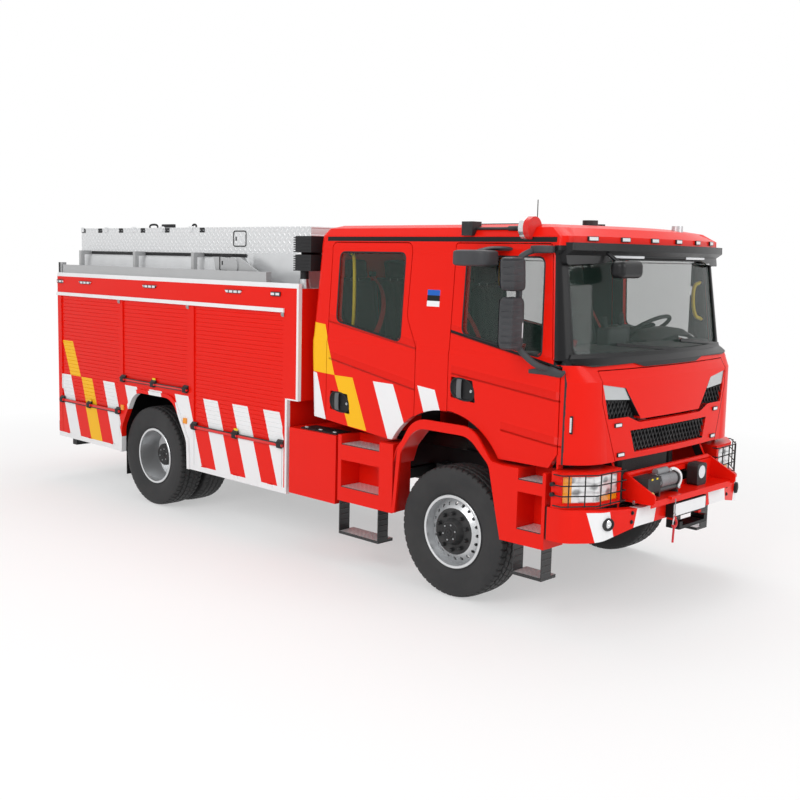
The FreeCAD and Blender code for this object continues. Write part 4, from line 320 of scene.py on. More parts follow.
# each crease: two points on its line, and where along the cab it runs
creases = [((-1.495, 1.823), (-0.45, 1.642), -1.50, -0.45), ((-0.057, 1.816), (0.982, 1.70), -0.06, 0.985),
           ((0.456, 1.425), (0.997, 1.366), 0.45, 1.0), ((-1.50, 2.147), (-0.46, 1.984), -1.52, -0.45),
           ((-0.078, 2.137), (0.955, 1.940), -0.10, 0.985)]


# the height over a crease's line, and 1 where the crease runs
def overCrease(f, crease):
    (x1, z1), (x2, z2), low, high = crease
    return f.z - z1 - (f.along - x1) * ((z2 - z1) / (x2 - x1)), f.along.within(low, high)


def cabLayers(f):
    x, side = f.along, abs(f.y) > cab["side"]
    layers = []
    for tint in ("yellow", "white"):
        layers.append((anyOf(patch(x, f.z, corners) for corners in cab[tint]) * side, colours[tint]))
    flag = x.within(*cab["flag"]) * side
    for index, tint in enumerate(("flagBlue", "black", "white")):
        high = cab["flagTop"] - index * cab["flagBand"]
        layers.append((flag * f.z.within(high - cab["flagBand"], high), colours[tint]))
    # the black screen surround, the panel above the doors and the belt line
    above = f.z.within(*cab["above"]) * side * x.within(*cab["aboveX"])
    edge = cab["pillarX"] - (f.z - cab["pillarFoot"]) * cab["pillarSlope"]
    pillar = (x > edge) * f.z.within(*cab["pillar"])
    off, runs = overCrease(f, creases[-1])
    layers.append((anyOf([above, pillar, off.within(*cab["belt"]) * runs * side]), colours["black"]))
    # what faces the inside is trim, not paint
    wayX, _, wayZ = f.facing()
    skin = (cab["skin"] - (f.z - cab["skinFoot"]) * cab["skinSlope"]).low(cab["skinMost"])
    within = (abs(f.y) < skin - cab["wall"]) * (x > cab["rear"]) * (f.z < cab["roof"]) * (wayX < 0.5)
    inside = within * (1 - (f.z > cab["ceiling"]) * (wayZ > 0.3)) * (1 - (wayX < -0.5) * (x < cab["back"]))
    return layers + [(inside, cab["trim"])]


# the bumper's slanted bands, the plate's holder, the low step and the dark caps at its ends
bumper = {"middle": 0.82, "slope": 0.25, "inner": (0.42, 0.70), "outer": (0.955, 1.12), "outerTop": 0.905,
          "outerX": 1.15, "top": 0.925, "holderX": 1.345, "holderY": 0.264, "holder": (0.755, 0.888),
          "stepTop": 0.68, "stepY": 0.5, "stepX": 1.36, "capY": 1.165, "capX": 0.95}


def bumperLayers(f):
    x, wide = f.along, abs(f.y)
    lean = (f.z - bumper["middle"]) * bumper["slope"]
    outer = (wide - lean).within(*bumper["outer"]) * (f.z < bumper["outerTop"]) * (x > bumper["outerX"])
    holder = (x > bumper["holderX"]) * (wide < bumper["holderY"]) * f.z.within(*bumper["holder"])
    lowStep = (f.z < bumper["stepTop"]) * (wide < bumper["stepY"]) * (x < bumper["stepX"])
    return [((wide + lean).within(*bumper["inner"]).high(outer) * (f.z < bumper["top"]), colours["white"]),
            (anyOf([holder, lowStep, (wide > bumper["capY"]) * (x < bumper["capX"])]), colours["black"])]


deck = {"beat": 0.007, "above": 2.0}


def deckLayers(f):  # fine tread on what lies level and high up
    raised = (f.x / deck["beat"]).sine() * (f.y / deck["beat"]).sine()
    tread = f.mix(raised.ramp(0.3, 0.6), (0.5, 0.51, 0.52), (0.66, 0.67, 0.68))
    return [((f.facing()[2] > 0.7) * (f.z > deck["above"]), tread)]


# the hatch: black behind both grilles, in shares of the hatch's half width and of each grille's height
hatch = {"half": 0.934, "upperZ": 1.512, "upperHeight": 0.315, "lowerHalf": 0.585, "lowerZ": 1.288,
         "lowerHeight": 0.17,
         "upperShares": [[(1, 1), (0.965, 0.64), (0.924, 0.17), (0.505, 0.17), (0.70, 0.87)],
                         [(-0.01, 0), (0.50, 0), (0.52, 0.08), (-0.01, 0.08)],
                         [(0.478, 0), (0.5, 0), (0.66, 0.17), (0.50, 0.17)]],
         "lowerShares": [(-1, 1), (-0.9, 0), (0.9, 0), (1, 1)],
         "lensShares": [(1, 1), (0.965, 0.64), (0.626, 0.57), (0.70, 0.87)],
         "strobes": ((0.747, 1.513), (0.709, 1.286)), "strobe": (0.036, 0.0105)}


def hatchShares(f):
    return abs(f.y) / hatch["half"], (f.z - hatch["upperZ"]) / hatch["upperHeight"]


def hatchLayers(f):
    share, rise = hatchShares(f)
    wayX, _, wayZ = f.facing()
    upper = [patch(share, rise, corners) for corners in hatch["upperShares"]]
    lower = patch(f.y / hatch["lowerHalf"], (f.z - hatch["lowerZ"]) / hatch["lowerHeight"],
                  hatch["lowerShares"])
    return [(anyOf(upper + [lower]) * (wayX > 0.2).high(abs(wayZ) > 0.5), colours["black"])]


# red paint with layers of other colours on it: (mask, colour)
def paint(name, layersOf=None, pressed=False):
    f = Finish(name)
    color = colours["red"]
    for mask, tint in layersOf(f) if layersOf else ():
        color = f.mix(mask, color, tint)
    ripple = f.noise(7.0)
    height, depth, strength = ripple, 0.0012, 0.35
    if pressed:
        # creases along the doors and the belt line: each is a valley with a ridge over it
        height, depth, strength = ripple * 0.04, 0.03, 0.9
        for crease in creases:
            off, runs = overCrease(f, crease)
            valley = off.ramp(-0.004, 0.012) - off.ramp(0.016, 0.07)
            height = height + runs * (abs(f.y) > cab["side"]) * valley
    return f.set(color=color, rough=ripple * 0.06 + 0.27, coat=0.06, coatRough=0.05, shine=0.12,
                 normal=f.bump(height, depth, strength))


def plastic(name, color, grain=900.0, rough=0.52):
    f = Finish(name)
    wide = f.noise(5.0, 3.0)
    return f.set(color=f.mix(wide.ramp(0.35, 0.75) * 0.35, color, lightened(color, 1.9, 0.006)),
                 rough=wide * 0.12 + rough - 0.06, shine=0.25, normal=f.bump(f.noise(grain), 0.0006, 0.5))


def metal(name, color, rough=0.34, metallic=1.0, stretch=(1, 1, 1)):
    f = Finish(name)
    brushed = f.noise(160.0, 3.0, stretch)
    wide = f.noise(3.0, 3.0)
    return f.set(color=f.mix(wide.ramp(0.4, 0.7) * 0.3, color, shaded(color, 0.72)), metal=metallic,
                 rough=brushed * 0.16 + wide * 0.1 + rough - 0.1, normal=f.bump(brushed, 0.0004, 0.4))


# bright plate with raised bars that lie two ways in turn; a tread has black walls
def checker(name, pitch=0.05, tread=False):
    f = Finish(name)
    wayZ = abs(f.facing()[2])
    flat = wayZ > 0.7
    across = flat * f.y + (1 - flat) * f.z
    p, q = (f.x + across) / pitch, (f.x - across) / pitch
    cellP, cellQ = abs(p.wave(1.0) - 0.5), abs(q.wave(1.0) - 0.5)
    turn = ((p.floor() + q.floor()) * 0.5).wave(1.0) > 0.25
    long = turn * cellP + (1 - turn) * cellQ
    thin = turn * cellQ + (1 - turn) * cellP
    raised = (1 - thin.ramp(0.09, 0.17)) * (1 - long.ramp(0.3, 0.42))
    color, metallic = f.mix(raised, shaded(colours["aluminium"], 0.98), (0.9, 0.9, 0.91)), 0.45
    if tread:
        wall = wayZ < 0.6
        color, metallic = f.mix(wall, color, colours["softBlack"]), (1 - wall) * 0.35
    return f.set(color=color, metal=metallic, rough=f.noise(4.0, 3.0) * 0.15 + 0.28 - raised * 0.08,
                 normal=f.bump(raised, 0.003, 0.9))


def glass(name, tint, alpha):
    f = Finish(name)
    return f.set(color=f.mix(f.noise(2.0) * 0.4, tint, shaded(tint, 0.8)), rough=0.03, alpha=alpha,
                 coat=0.4, coatRough=0.02, ior=1.45)


# lamps, grille parts and rims: one finish a node, told apart by place: (mask, colour, roughness, metallic)
def byPlace(name, partsOf, color, rough=0.5, grain=900.0, metallic=0.0):
    f = Finish(name)
    for mask, tint, smooth, bright in partsOf(f):
        color = f.mix(mask, color, tint)
        rough = mask * smooth + (1 - mask) * rough
        metallic = mask * bright + (1 - mask) * metallic
    wide = f.noise(5.0, 3.0)
    return f.set(color=f.mix(wide.ramp(0.35, 0.75) * 0.12, color, (0.3, 0.3, 0.3)),
                 rough=wide * 0.08 + rough - 0.04,
                 metal=metallic, shine=0.3, normal=f.bump(f.noise(grain), 0.0005, 0.4))


def grilleParts(f):
    share, rise = hatchShares(f)
    lamp = patch(share, rise, hatch["lensShares"]) * (rise > 0.5)
    halfY, halfZ = hatch["strobe"]
    strobes = anyOf(abs(f.y).near(y, halfY) * f.z.near(z, halfZ) for y, z in hatch["strobes"])
    return [(lamp, (0.55, 0.57, 0.58), 0.1, 0.55), (strobes, colours["lit"], 0.15, 0.0)]


# on the roof: lamps along its front edge, the search lamp with its rim, and the domes
roof = {"lamps": (0.182, 0.548, 0.892), "lampZ": 2.893, "lamp": (0.043, 0.012), "lampsX": 0.7,
        "searchY": -1.0, "searchX": 0.545, "rim": (0.54, 0.588), "domes": (0.8, 0.96), "domesY": 0.6,
        "domesZ": 2.9}


def roofParts(f):
    wide, (halfY, halfZ) = abs(f.y), roof["lamp"]
    lamps = anyOf(wide.near(y, halfY) * f.z.near(roof["lampZ"], halfZ) for y in roof["lamps"])
    search = (f.y < roof["searchY"]) * (f.along > roof["searchX"])
    domes = f.along.within(*roof["domes"]) * (wide < roof["domesY"]) * (f.z > roof["domesZ"])
    return [(lamps * (f.along > roof["lampsX"]), colours["lit"], 0.15, 0.0),
            (search, (0.7, 0.012, 0.008), 0.25, 0.0),
            (search * f.along.within(*roof["rim"]), colours["chrome"], 0.2, 0.8),
            (domes, (0.55, 0.56, 0.57), 0.3, 0.7)]


# the body's lamps: tail lamps in three heights, the work lamp over the bumper, side markers and strips
lamp = {"tailX": -6.19, "tailZ": (0.83, 2.0), "workX": 1.2, "faceX": 1.34, "face": (0.262, 1.056),
        "faceRadius": 0.052, "markerTop": 1.5, "stripPitch": 0.07, "stripShare": (0.12, 0.88),
        "strip": (2.371, 0.011)}


def lampParts(f):
    x = f.along
    tail, work, low = x < lamp["tailX"], x > lamp["workX"], f.z < lamp["markerTop"]
    between = (1 - tail) * (1 - work)
    offY, offZ = f.y - lamp["face"][0], f.z - lamp["face"][1]
    face = work * ((offY * offY + offZ * offZ).root() < lamp["faceRadius"]) * (x > lamp["faceX"])
    strips = x.wave(lamp["stripPitch"]).within(*lamp["stripShare"]) * f.z.near(*lamp["strip"])
    return [(tail * (f.z < lamp["tailZ"][0]), colours["tailRed"], 0.15, 0.0),
            (tail * (f.z > lamp["tailZ"][0]), colours["amber"], 0.15, 0.0),
            (tail * (f.z > lamp["tailZ"][1]), colours["tailRed"], 0.15, 0.0),
            (work, colours["softBlack"], 0.5, 0.0), (face, colours["mirror"], 0.12, 0.6),
            (between * low, colours["amber"], 0.15, 0.0),
            (between * (1 - low) * (1 - strips), colours["softBlack"], 0.5, 0.0)]


# how wide the black hubs are, and places on the rack, the winch and the shutters' bars
dark = {"frontHub": 0.19, "rearHub": 0.125, "hub": (0.018, 0.018, 0.019), "rackY": -0.985, "rackHalf": 0.013,
        "rackFront": -2.86, "winchBox": -0.405, "barHalf": 0.0085, "barOut": 1.283}


def rimParts(f):  # the black hubs inside the silver rims
    offset, rise = abs(f.along).low(abs(f.along + wheelbase)), f.z - wheelZ
    radius = (offset * offset + rise * rise).root()
    front = f.along > -wheelbase / 2
    return [((radius < dark["frontHub"]) * front, dark["hub"], 0.45, 0.0),
            ((radius < dark["rearHub"]) * (1 - front), dark["hub"], 0.45, 0.0)]


def barParts(f):  # a red line along each shutter's bar
    strip = anyOf(f.z.near(z, dark["barHalf"]) * (abs(f.y) > dark["barOut"]) for z in shutter["bars"])
    return [(strip, (0.75, 0.012, 0.01), 0.3, 0.0)]


def rackParts(f):  # white panels under the boxes, a bright one at their front, and black at the rear end
    panel = f.y.near(dark["rackY"], dark["rackHalf"])
    return [(panel, (0.82, 0.83, 0.84), 0.35, 0.0),
            (panel * (f.along > dark["rackFront"]), colours["chrome"], 0.3, 0.4),
            (f.along < lamp["tailX"], colours["softBlack"], 0.5, 0.0)]


def winchParts(f):  # the black control box at the winch's right end
    return [(f.y < dark["winchBox"], colours["softBlack"], 0.5, 0.0)]


def lens(name, color, pitch=0.012):
    f = Finish(name)
    ribs = ((f.y + f.x) / pitch * fullTurn).sine() * 0.5 + 0.5
    cells = ribs * ((f.z / pitch * fullTurn).sine() * 0.5 + 0.5)
    return f.set(color=f.mix(cells, shaded(color, 0.72), color), rough=0.12, metal=0.0, coat=1.0,
                 coatRough=0.03, normal=f.bump(cells, 0.0015, 0.6))


# the headlamps: amber at the outer end and low on the inner one, folded mirrors between, with painted
# reflection: their colour is dark on every other facet and light on the rest
headlamp = {"outer": 1.185, "inner": 0.985, "low": 1.012}


def headlampFinish(name):
    f = Finish(name)
    wide = abs(f.y)
    amber = (wide > headlamp["outer"]).high((f.z < headlamp["low"]) * (wide < headlamp["inner"]))
    cells = {"Vector": f.spot, "Scale": 11.0}
    bowl = f.node("ShaderNodeTexVoronoi", {"feature": "SMOOTH_F1"}, cells, "Distance")
    fold = ((wide * 34 + f.z * 21).sine() * (wide * 13 - f.z * 40).sine()) * 0.5 + 0.5
    # painted reflection: the chrome mirrors are coloured dark on every other folded facet and light on the
    # others
    bright = f.mix(fold.ramp(0.62, 0.9) * 0.75, (0.88, 0.89, 0.9), (0.13, 0.135, 0.14))
    return f.set(color=f.mix(amber, bright, colours["amber"]), rough=bowl * 0.2 + 0.1, coat=1.0,
                 coatRough=0.02, metal=(1 - amber) * 0.35, normal=f.bump(fold + bowl, 0.01, 0.5))


def tyreRubber(name, color, dusty):
    f = Finish(name)
    wide = f.noise(6.0, 4.0)
    return f.set(color=f.mix(wide.ramp(0.35, 0.75) * 0.6, color, dusty), rough=wide * 0.15 + 0.62,
                 normal=f.bump(f.noise(420.0), 0.0006, 0.5))


def fabric(name, color, weave=0.004):
    f = Finish(name)
    warp = (f.x / weave * fullTurn).sine() * ((f.y + f.z) / weave * fullTurn).sine()
    return f.set(color=f.mix(warp * 0.25 + 0.3 * f.noise(9.0, 3.0), color, lightened(color, 2.2, 0.01)),
                 rough=0.88, sheen=0.3, normal=f.bump(warp, 0.001, 0.6))


def whitePaint(name, color, dull):
    f = Finish(name)
    wide = f.noise(4.0, 3.0)
    return f.set(color=f.mix(wide.ramp(0.45, 0.75) * 0.3, color, dull), rough=wide * 0.1 + 0.3, coat=0.3,
                 coatRough=0.1, normal=f.bump(wide, 0.001, 0.3))


# shutters: their ends along the body, the heights of their bars, and the hooks beside them
shutter = {"xs": ((-6.13, -4.86), (-4.79, -3.57), (-3.46, -2.06)), "bars": (0.957, 1.330, 0.967),
           "barY": 1.288, "caps": (0.075, 0.036, 0.062), "capIn": 0.02, "ribs": (0.05, 0.004, 0.006),
           "ribPitch": 0.016, "tag": (0.058, 0.004, 0.03), "tagUp": 0.052,
           "hooks": (-4.85, -3.556, -2.064), "hookZ": 2.19}

# every finish: its maker, and what each one of its kind is given
recipes = {
    paint: {"bodyPaint": (bodyLayers,), "cabPaint": (cabLayers, True), "redPaint": (),
            "bumperPaint": (bumperLayers,), "hatchPaint": (hatchLayers,), "deckPaint": (deckLayers,)},
    plastic: {"blackPlastic": (colours["black"],), "greyPlastic": (colours["grey"],),
              "dashPlastic": ((0.075, 0.078, 0.08), 600.0, 0.6),
              "chassisBlack": (colours["softBlack"], 120.0, 0.42),
              "hubBlack": ((0.02, 0.02, 0.021), 200.0, 0.4), "gripYellow": ((0.85, 0.6, 0.02), 300.0, 0.4),
              "sealRubber": ((0.016, 0.016, 0.017), 500.0, 0.55),
              "trimBlack": ((0.008, 0.008, 0.009), 900.0, 0.3),
              "mirrorShell": ((0.045, 0.046, 0.05), 700.0, 0.45),
              "ropeGrey": ((0.25, 0.25, 0.26), 300.0, 0.5), "hookRed": ((0.55, 0.012, 0.012), 200.0, 0.35)},
    metal: {"aluminium": (colours["aluminium"], 0.36, 1.0, (0.03, 1, 1)),
            "castSteel": ((0.09, 0.09, 0.092), 0.5, 0.6), "mastTube": ((0.55, 0.56, 0.57), 0.3),
            "brass": ((0.72, 0.48, 0.18), 0.3), "mirrorGlass": ((0.75, 0.77, 0.78), 0.12),
            "motorGrey": ((0.25, 0.26, 0.27), 0.4, 0.4), "lampChrome": ((0.75, 0.76, 0.77), 0.2),
            "steelBolt": ((0.42, 0.43, 0.44), 0.32), "rimBright": ((0.68, 0.69, 0.7), 0.28)},
    checker: {"boxPlate": (0.075,), "stepSet": (0.05, True)},
    glass: {"windowGlass": ((0.03, 0.06, 0.048), 0.23)},
    lens: {"clearLens": (colours["clear"],), "redLens": (colours["lensRed"],),
           "lampGlow": (colours["clear"], 0.006)},
    fabric: {"seatCloth": ((0.03, 0.031, 0.034),), "beltWebbing": ((0.5, 0.012, 0.012), 0.003),
             "strapRed": ((0.62, 0.02, 0.03), 0.003)},
    byPlace: {"rackSilver": (rackParts, (0.46, 0.465, 0.47), 0.4, 300.0, 0.5),
              "grilleSet": (grilleParts, colours["black"], 0.45), "roofSet": (roofParts, colours["black"]),
              "lampSet": (lampParts, colours["mirror"], 0.15), "barSet": (barParts, colours["black"]),
              "rimSet": (rimParts, (0.58, 0.59, 0.6), 0.34, 200.0, 0.75),
              "winchSet": (winchParts, (0.05, 0.051, 0.053), 0.4)},
    headlampFinish: {"headlamp": ()},
    tyreRubber: {"tyreRubber": (colours["black"], (0.034, 0.033, 0.033))},
    whitePaint: {"whitePaint": (colours["white"], (0.66, 0.67, 0.67))},
}
finish = {name: maker(name, *values) for maker, kinds in recipes.items() for name, values in kinds.items()}
print("materials made")

# the finish of each carried-over node; a name that ends in _ is a pair, left and right
nodeFinish = {
    "castSteel": ["axles", "springs_and_shaft", "engine_block", "track_rod", "knuckle_"],
    "chassisBlack": ["chassis_frame", "rear_bumper", "arch_liners", "lamp_guards"],
    "bodyPaint": ["body_sides", "shutters", "flap_front_", "flap_rear_"],
    "deckPaint": ["body_deck_and_ends"], "stepSet": ["cab_steps"], "headlamp": ["headlamps"],
    "aluminium": ["body_lockers"], "whitePaint": ["body_trims"], "barSet": ["shutter_bars"],
    "redPaint": ["front_wings", "winch_frame"], "cabPaint": ["cab_shell", "door_front_", "door_rear_"],
    "hatchPaint": ["front_hatch"], "bumperPaint": ["front_bumper"], "winchSet": ["winch"],
    "grilleSet": ["front_grille"], "trimBlack": ["cab_trim"], "roofSet": ["roof_gear"],
    "dashPlastic": ["dashboard"], "seatCloth": ["seats"], "greyPlastic": ["mirrors_"],
    "windowGlass": ["windscreen", "door_glass_front_", "door_glass_rear_"], "lampSet": ["body_lamps"],
    "rackSilver": ["roof_rack"], "mastTube": ["mast_base", "mast_stage_lower", "mast_stage_upper"],
    "blackPlastic": ["mast_head"], "tyreRubber": ["front_tyre_", "rear_tyres_"],
    "rimSet": ["front_rim_", "rear_rims_"], "boxPlate": ["roof_boxes", "roof_box_lid"],
}
for name, nodes in nodeFinish.items():
    for node in nodes:
        for one in (node + "left", node + "right") if node.endswith("_") else (node,):
            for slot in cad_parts[one].material_slots:
                slot.material = finish[name]


def meshOf(name, points, faces):
    mesh = bpy.data.meshes.new(name)
    mesh.from_pydata(np.asarray(points).tolist(), [], faces)
    return mesh


# grids of points on their way to one mesh: neighbours in a grid share a face
class Weave:
    def __init__(self):
        self.points, self.faces, self.slots, self.count = [], [], [], 0

    def add(self, grid, wrap=(False, False), slot=0):
        grid = np.asarray(grid, float)
        index = np.arange(grid.shape[0] * grid.shape[1]).reshape(grid.shape[:2]) + self.count
        index = np.vstack([index, index[:1]]) if wrap[0] else index
        index = np.hstack([index, index[:, :1]]) if wrap[1] else index
        quads = np.stack([index[:-1, :-1], index[1:, :-1], index[1:, 1:], index[:-1, 1:]], -1)
        quads = quads.reshape(-1, 4)
        self.points.append(grid.reshape(-1, 3))
        self.faces.append(quads)
        self.slots.append(np.full(len(quads), slot))
        self.count += grid.shape[0] * grid.shape[1]
        return self

    def lathe(self, slot, profile, centre, axis, count=24):
        return self.add(turned(profile, centre, axis, count), (True, False), slot)

    def rod(self, slot, path, wide, thick=None, sides=10, closed=False, up=None):
        return self.add(bar(path, wide, thick, sides, closed, up), (closed, True), slot)

    def block(self, slot, centre, size, round, steps=3, turn=None):
        return self.add(cushion(centre, size, round, steps, turn), (False, True), slot)

    def shell(self, slot, *form):
        return self.add(shellGrid(*form), (False, True), slot)

    def twin(self):  # the same again on the other side
        points, faces, slots = (np.concatenate(part) for part in (self.points, self.faces, self.slots))
        self.points.append(points * (1, -1, 1))
        self.faces.append(faces[:, ::-1] + self.count)
        self.slots.append(slots)
        self.count *= 2
        return self

    def make(self, name, finishes, body, angle=38):
        points = np.concatenate(self.points) + (frontAxle, 0, 0)
        mesh = meshOf(name, points, np.concatenate(self.faces).tolist())
        for key in finishes:
            mesh.materials.append(finish[key])
        mesh.polygons.foreach_set("material_index", np.concatenate(self.slots).astype(np.int32))
        mesh.polygons.foreach_set("use_smooth", np.ones(len(mesh.polygons), bool))
        mesh.set_sharp_from_angle(angle=math.radians(angle))
        mesh.update()
        piece = linked(name, mesh)
        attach(piece, body)
        return piece


def unit(vector):
    vector = np.asarray(vector, float)
    return vector / np.linalg.norm(vector, axis=-1, keepdims=True)


# two directions across an axis
def across(axis):
    axis = unit(axis)
    first = unit(np.cross(axis, (0, 0, 1) if abs(axis[2]) < 0.9 else (1, 0, 0)))
    return first, np.cross(axis, first)


# a turned form: centre + along * axis + radius * (cos a * first + sin a * second), for each (along, radius)
def turned(profile, centre, axis, count):
    profile = np.asarray(profile, float)
    first, second = across(axis)
    a = np.linspace(0, 2 * np.pi, count, endpoint=False)[:, None, None]
    ring = np.cos(a) * first + np.sin(a) * second
    return np.asarray(centre) + profile[None, :, :1] * unit(axis) + profile[None, :, 1:] * ring


# corners cut in turn until they are a smooth line
def eased(points, rounds=3, closed=False):
    points = np.asarray(points, float)
    for _ in range(rounds):
        following = np.roll(points, -1, 0) if closed else points[1:]
        here = points if closed else points[:-1]
        cut = np.stack([here * 0.75 + following * 0.25, here * 0.25 + following * 0.75], 1)
        cut = cut.reshape(-1, points.shape[1])
        points = cut if closed else np.vstack([points[:1], cut, points[-1:]])
    return points


# a bar along a path: ring(a) = wide * cos a * side + thick * sin a * up, carried along with the least turn
def bar(path, wide, thick=None, sides=10, closed=False, up=None):
    path = np.asarray(path, float)
    thick = wide if thick is None else thick
    steps = np.roll(path, -1, 0) - np.roll(path, 1, 0) if closed else np.gradient(path, axis=0)
    ahead = unit(steps)
    side, lift = np.zeros_like(path), across(ahead[0])[1] if up is None else np.asarray(up, float)
    for index, way in enumerate(ahead):
        lift = unit(lift - way * (lift @ way))
        side[index] = np.cross(way, lift)
    lifts = np.cross(side, ahead)
    a = np.linspace(0, 2 * np.pi, sides, endpoint=False)[None, :, None]
    grid = path[:, None] + np.cos(a) * side[:, None] * wide + np.sin(a) * lifts[:, None] * thick
    if not closed:
        ends = [np.repeat(path[end][None, None], sides, 1) for end in (0, -1)]
        grid = np.concatenate([ends[0], grid, ends[1]])
    return grid


# a box with round edges: centre + sign * (half - round) + round * direction, over a sphere's directions
def cushion(centre, size, round, steps=3, turn=None):
    half = np.asarray(size, float) / 2
    round = min(round, half.min() * 0.999)
    quarter = np.linspace(0, np.pi / 2, steps + 1)
    longitude = np.concatenate([quarter + q * np.pi / 2 for q in range(4)])
    latitude = np.concatenate([quarter - np.pi / 2, quarter])[:, None]
    signX, signY = (np.repeat(signs, steps + 1)[None] for signs in ([1, -1, -1, 1], [1, 1, -1, -1]))
    signZ = np.repeat([-1, 1], steps + 1)[:, None]
    ways = (np.cos(latitude) * np.cos(longitude), np.cos(latitude) * np.sin(longitude), np.sin(latitude))
    parts = [sign * (reach - round) + round * way for sign, reach,
             way in zip((signX, signY, signZ), half, ways)]
    grid = np.stack(np.broadcast_arrays(*parts), -1)
    caps = [np.repeat([[[0, 0, sign * half[2]]]], len(longitude), 1) for sign in (-1, 1)]
    grid = np.concatenate([caps[0], grid, caps[1]])
    if turn is not None:
        grid = grid @ np.asarray(turn).T
    return grid + np.asarray(centre)


# an upright form whose plan is |x|^n + |y|^n = 1, drawn in at its ends, with ribs pressed into its front:
# (pitch, depth, low, high, reach across)
def shellGrid(centre, size, power, taper=1.0, ribs=None, levels=64, lean=0.0):
    half = np.asarray(size, float) / 2
    t = np.linspace(0, 2 * np.pi, 72, endpoint=False)
    v = np.concatenate([[-1], -np.cos(np.linspace(0.16, np.pi - 0.16, levels)), [1]])[:, None]
    ends = (1 - np.abs(v) ** 9) ** (1 / 4)
    px, py = (np.sign(way) * np.abs(way) ** (2 / power) for way in (np.cos(t), np.sin(t)))
    narrow = 1 - (1 - taper) * (px + 1) / 2
    x = px * ends * half[0]
    y = py * narrow * ends * half[1] + lean * v
    z = v * half[2] + 0 * px
    if ribs:
        pitch, depth, low, high, reach = ribs
        slat = (z / pitch) % 1
        groove = np.where(slat < 0.86, slat / 0.86, (1 - slat) / 0.14)
        share = py * np.sign(centre[1])
        press = np.clip((px + 0.8) / 0.12, 0, 1) * np.clip((share - reach) / 0.05, 0, 1)
        press = press * np.clip((0.88 - np.abs(v)) / 0.04, 0, 1)
        sink = depth * (1 - groove) * press * ((z > low) & (z < high)) / np.hypot(px, py)
        x, y = x - sink * px, y - sink * py
    return np.stack([x, y, z], -1) + np.asarray(centre)


def turnAbout(axis, degrees):
    return np.array(Matrix.Rotation(math.radians(degrees), 3, axis))


# points moved along a direction until they lie on CAD nodes
def settle(points, direction, nodes):
    direction = unit(direction)
    held = []
    for point in np.asarray(points, float):
        start = point + (frontAxle, 0, 0)
        reach = []
        for node in nodes:
            hit, spot, _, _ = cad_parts[node].ray_cast(start.tolist(), direction.tolist())
            if hit:
                reach.append((np.array(spot) - start) @ direction)
        held.append(point + direction * min(reach, default=0.0))
    return np.array(held)


# a node's box, measured from the front axle
def boxOf(node):
    return [np.array(corner) - (frontAxle, 0, 0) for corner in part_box(node)]


# a flat outline in x and z, stood up at a y
def upright(flat, y):
    return np.column_stack([flat[:, 0], np.broadcast_to(y, len(flat)), flat[:, 1]])


# an outline with its corners rounded: (1 - t)^2 * a + 2 t (1 - t) * corner + t^2 * b
def rounded(corners, radius, steps=5):
    corners = np.asarray(corners, float)
    points = []
    for index, spot in enumerate(corners):
        back = unit(corners[index - 1] - spot)
        ahead = unit(corners[(index + 1) % len(corners)] - spot)
        a, b = spot + back * radius, spot + ahead * radius
        t = np.linspace(0, 1, steps + 1)[:, None]
        points.append((1 - t) ** 2 * a + 2 * t * (1 - t) * spot + t ** 2 * b)
    return np.vstack(points)


# the four corners of a frame round a middle, in two of the three directions
def fourCorners(middle, halves, ways):
    corners = np.tile(np.asarray(middle, float), (4, 1))
    corners[:, ways[0]] += np.array((-1, 1, 1, -1)) * halves[0]
    corners[:, ways[1]] += np.array((-1, -1, 1, 1)) * halves[1]
    return corners


# tyres: radius over the section, less grooves that zigzag round the tread and notches across its shoulders
tyre = {"outerY": 1.095, "innerY": 0.75, "tread": 0.126, "past": 0.004, "sunk": 0.0006, "fall": 0.0075,
        "grooves": (-0.088, -0.034, 0.034, 0.088), "grooveWidth": 0.011, "zigzag": 0.005, "depth": 0.011,
        "blocks": 56, "notchIn": 0.094, "notch": 0.8, "slitOut": 0.088, "slit": 0.45,
        "shoulder": (0.512, 0.012), "ridges": ((0.0022, 0.476, 0.004), (0.0018, 0.352, 0.003)),
        "flank": [(0.100, 0.289), (0.1145, 0.292), (0.1148, 0.303), (0.120, 0.312), (0.132, 0.330),
                  (0.1445, 0.372), (0.1495, 0.425), (0.1492, 0.47), (0.145, 0.502), (0.1385, 0.521)],
        "fine": (448, 50), "coarse": (224, 40)}


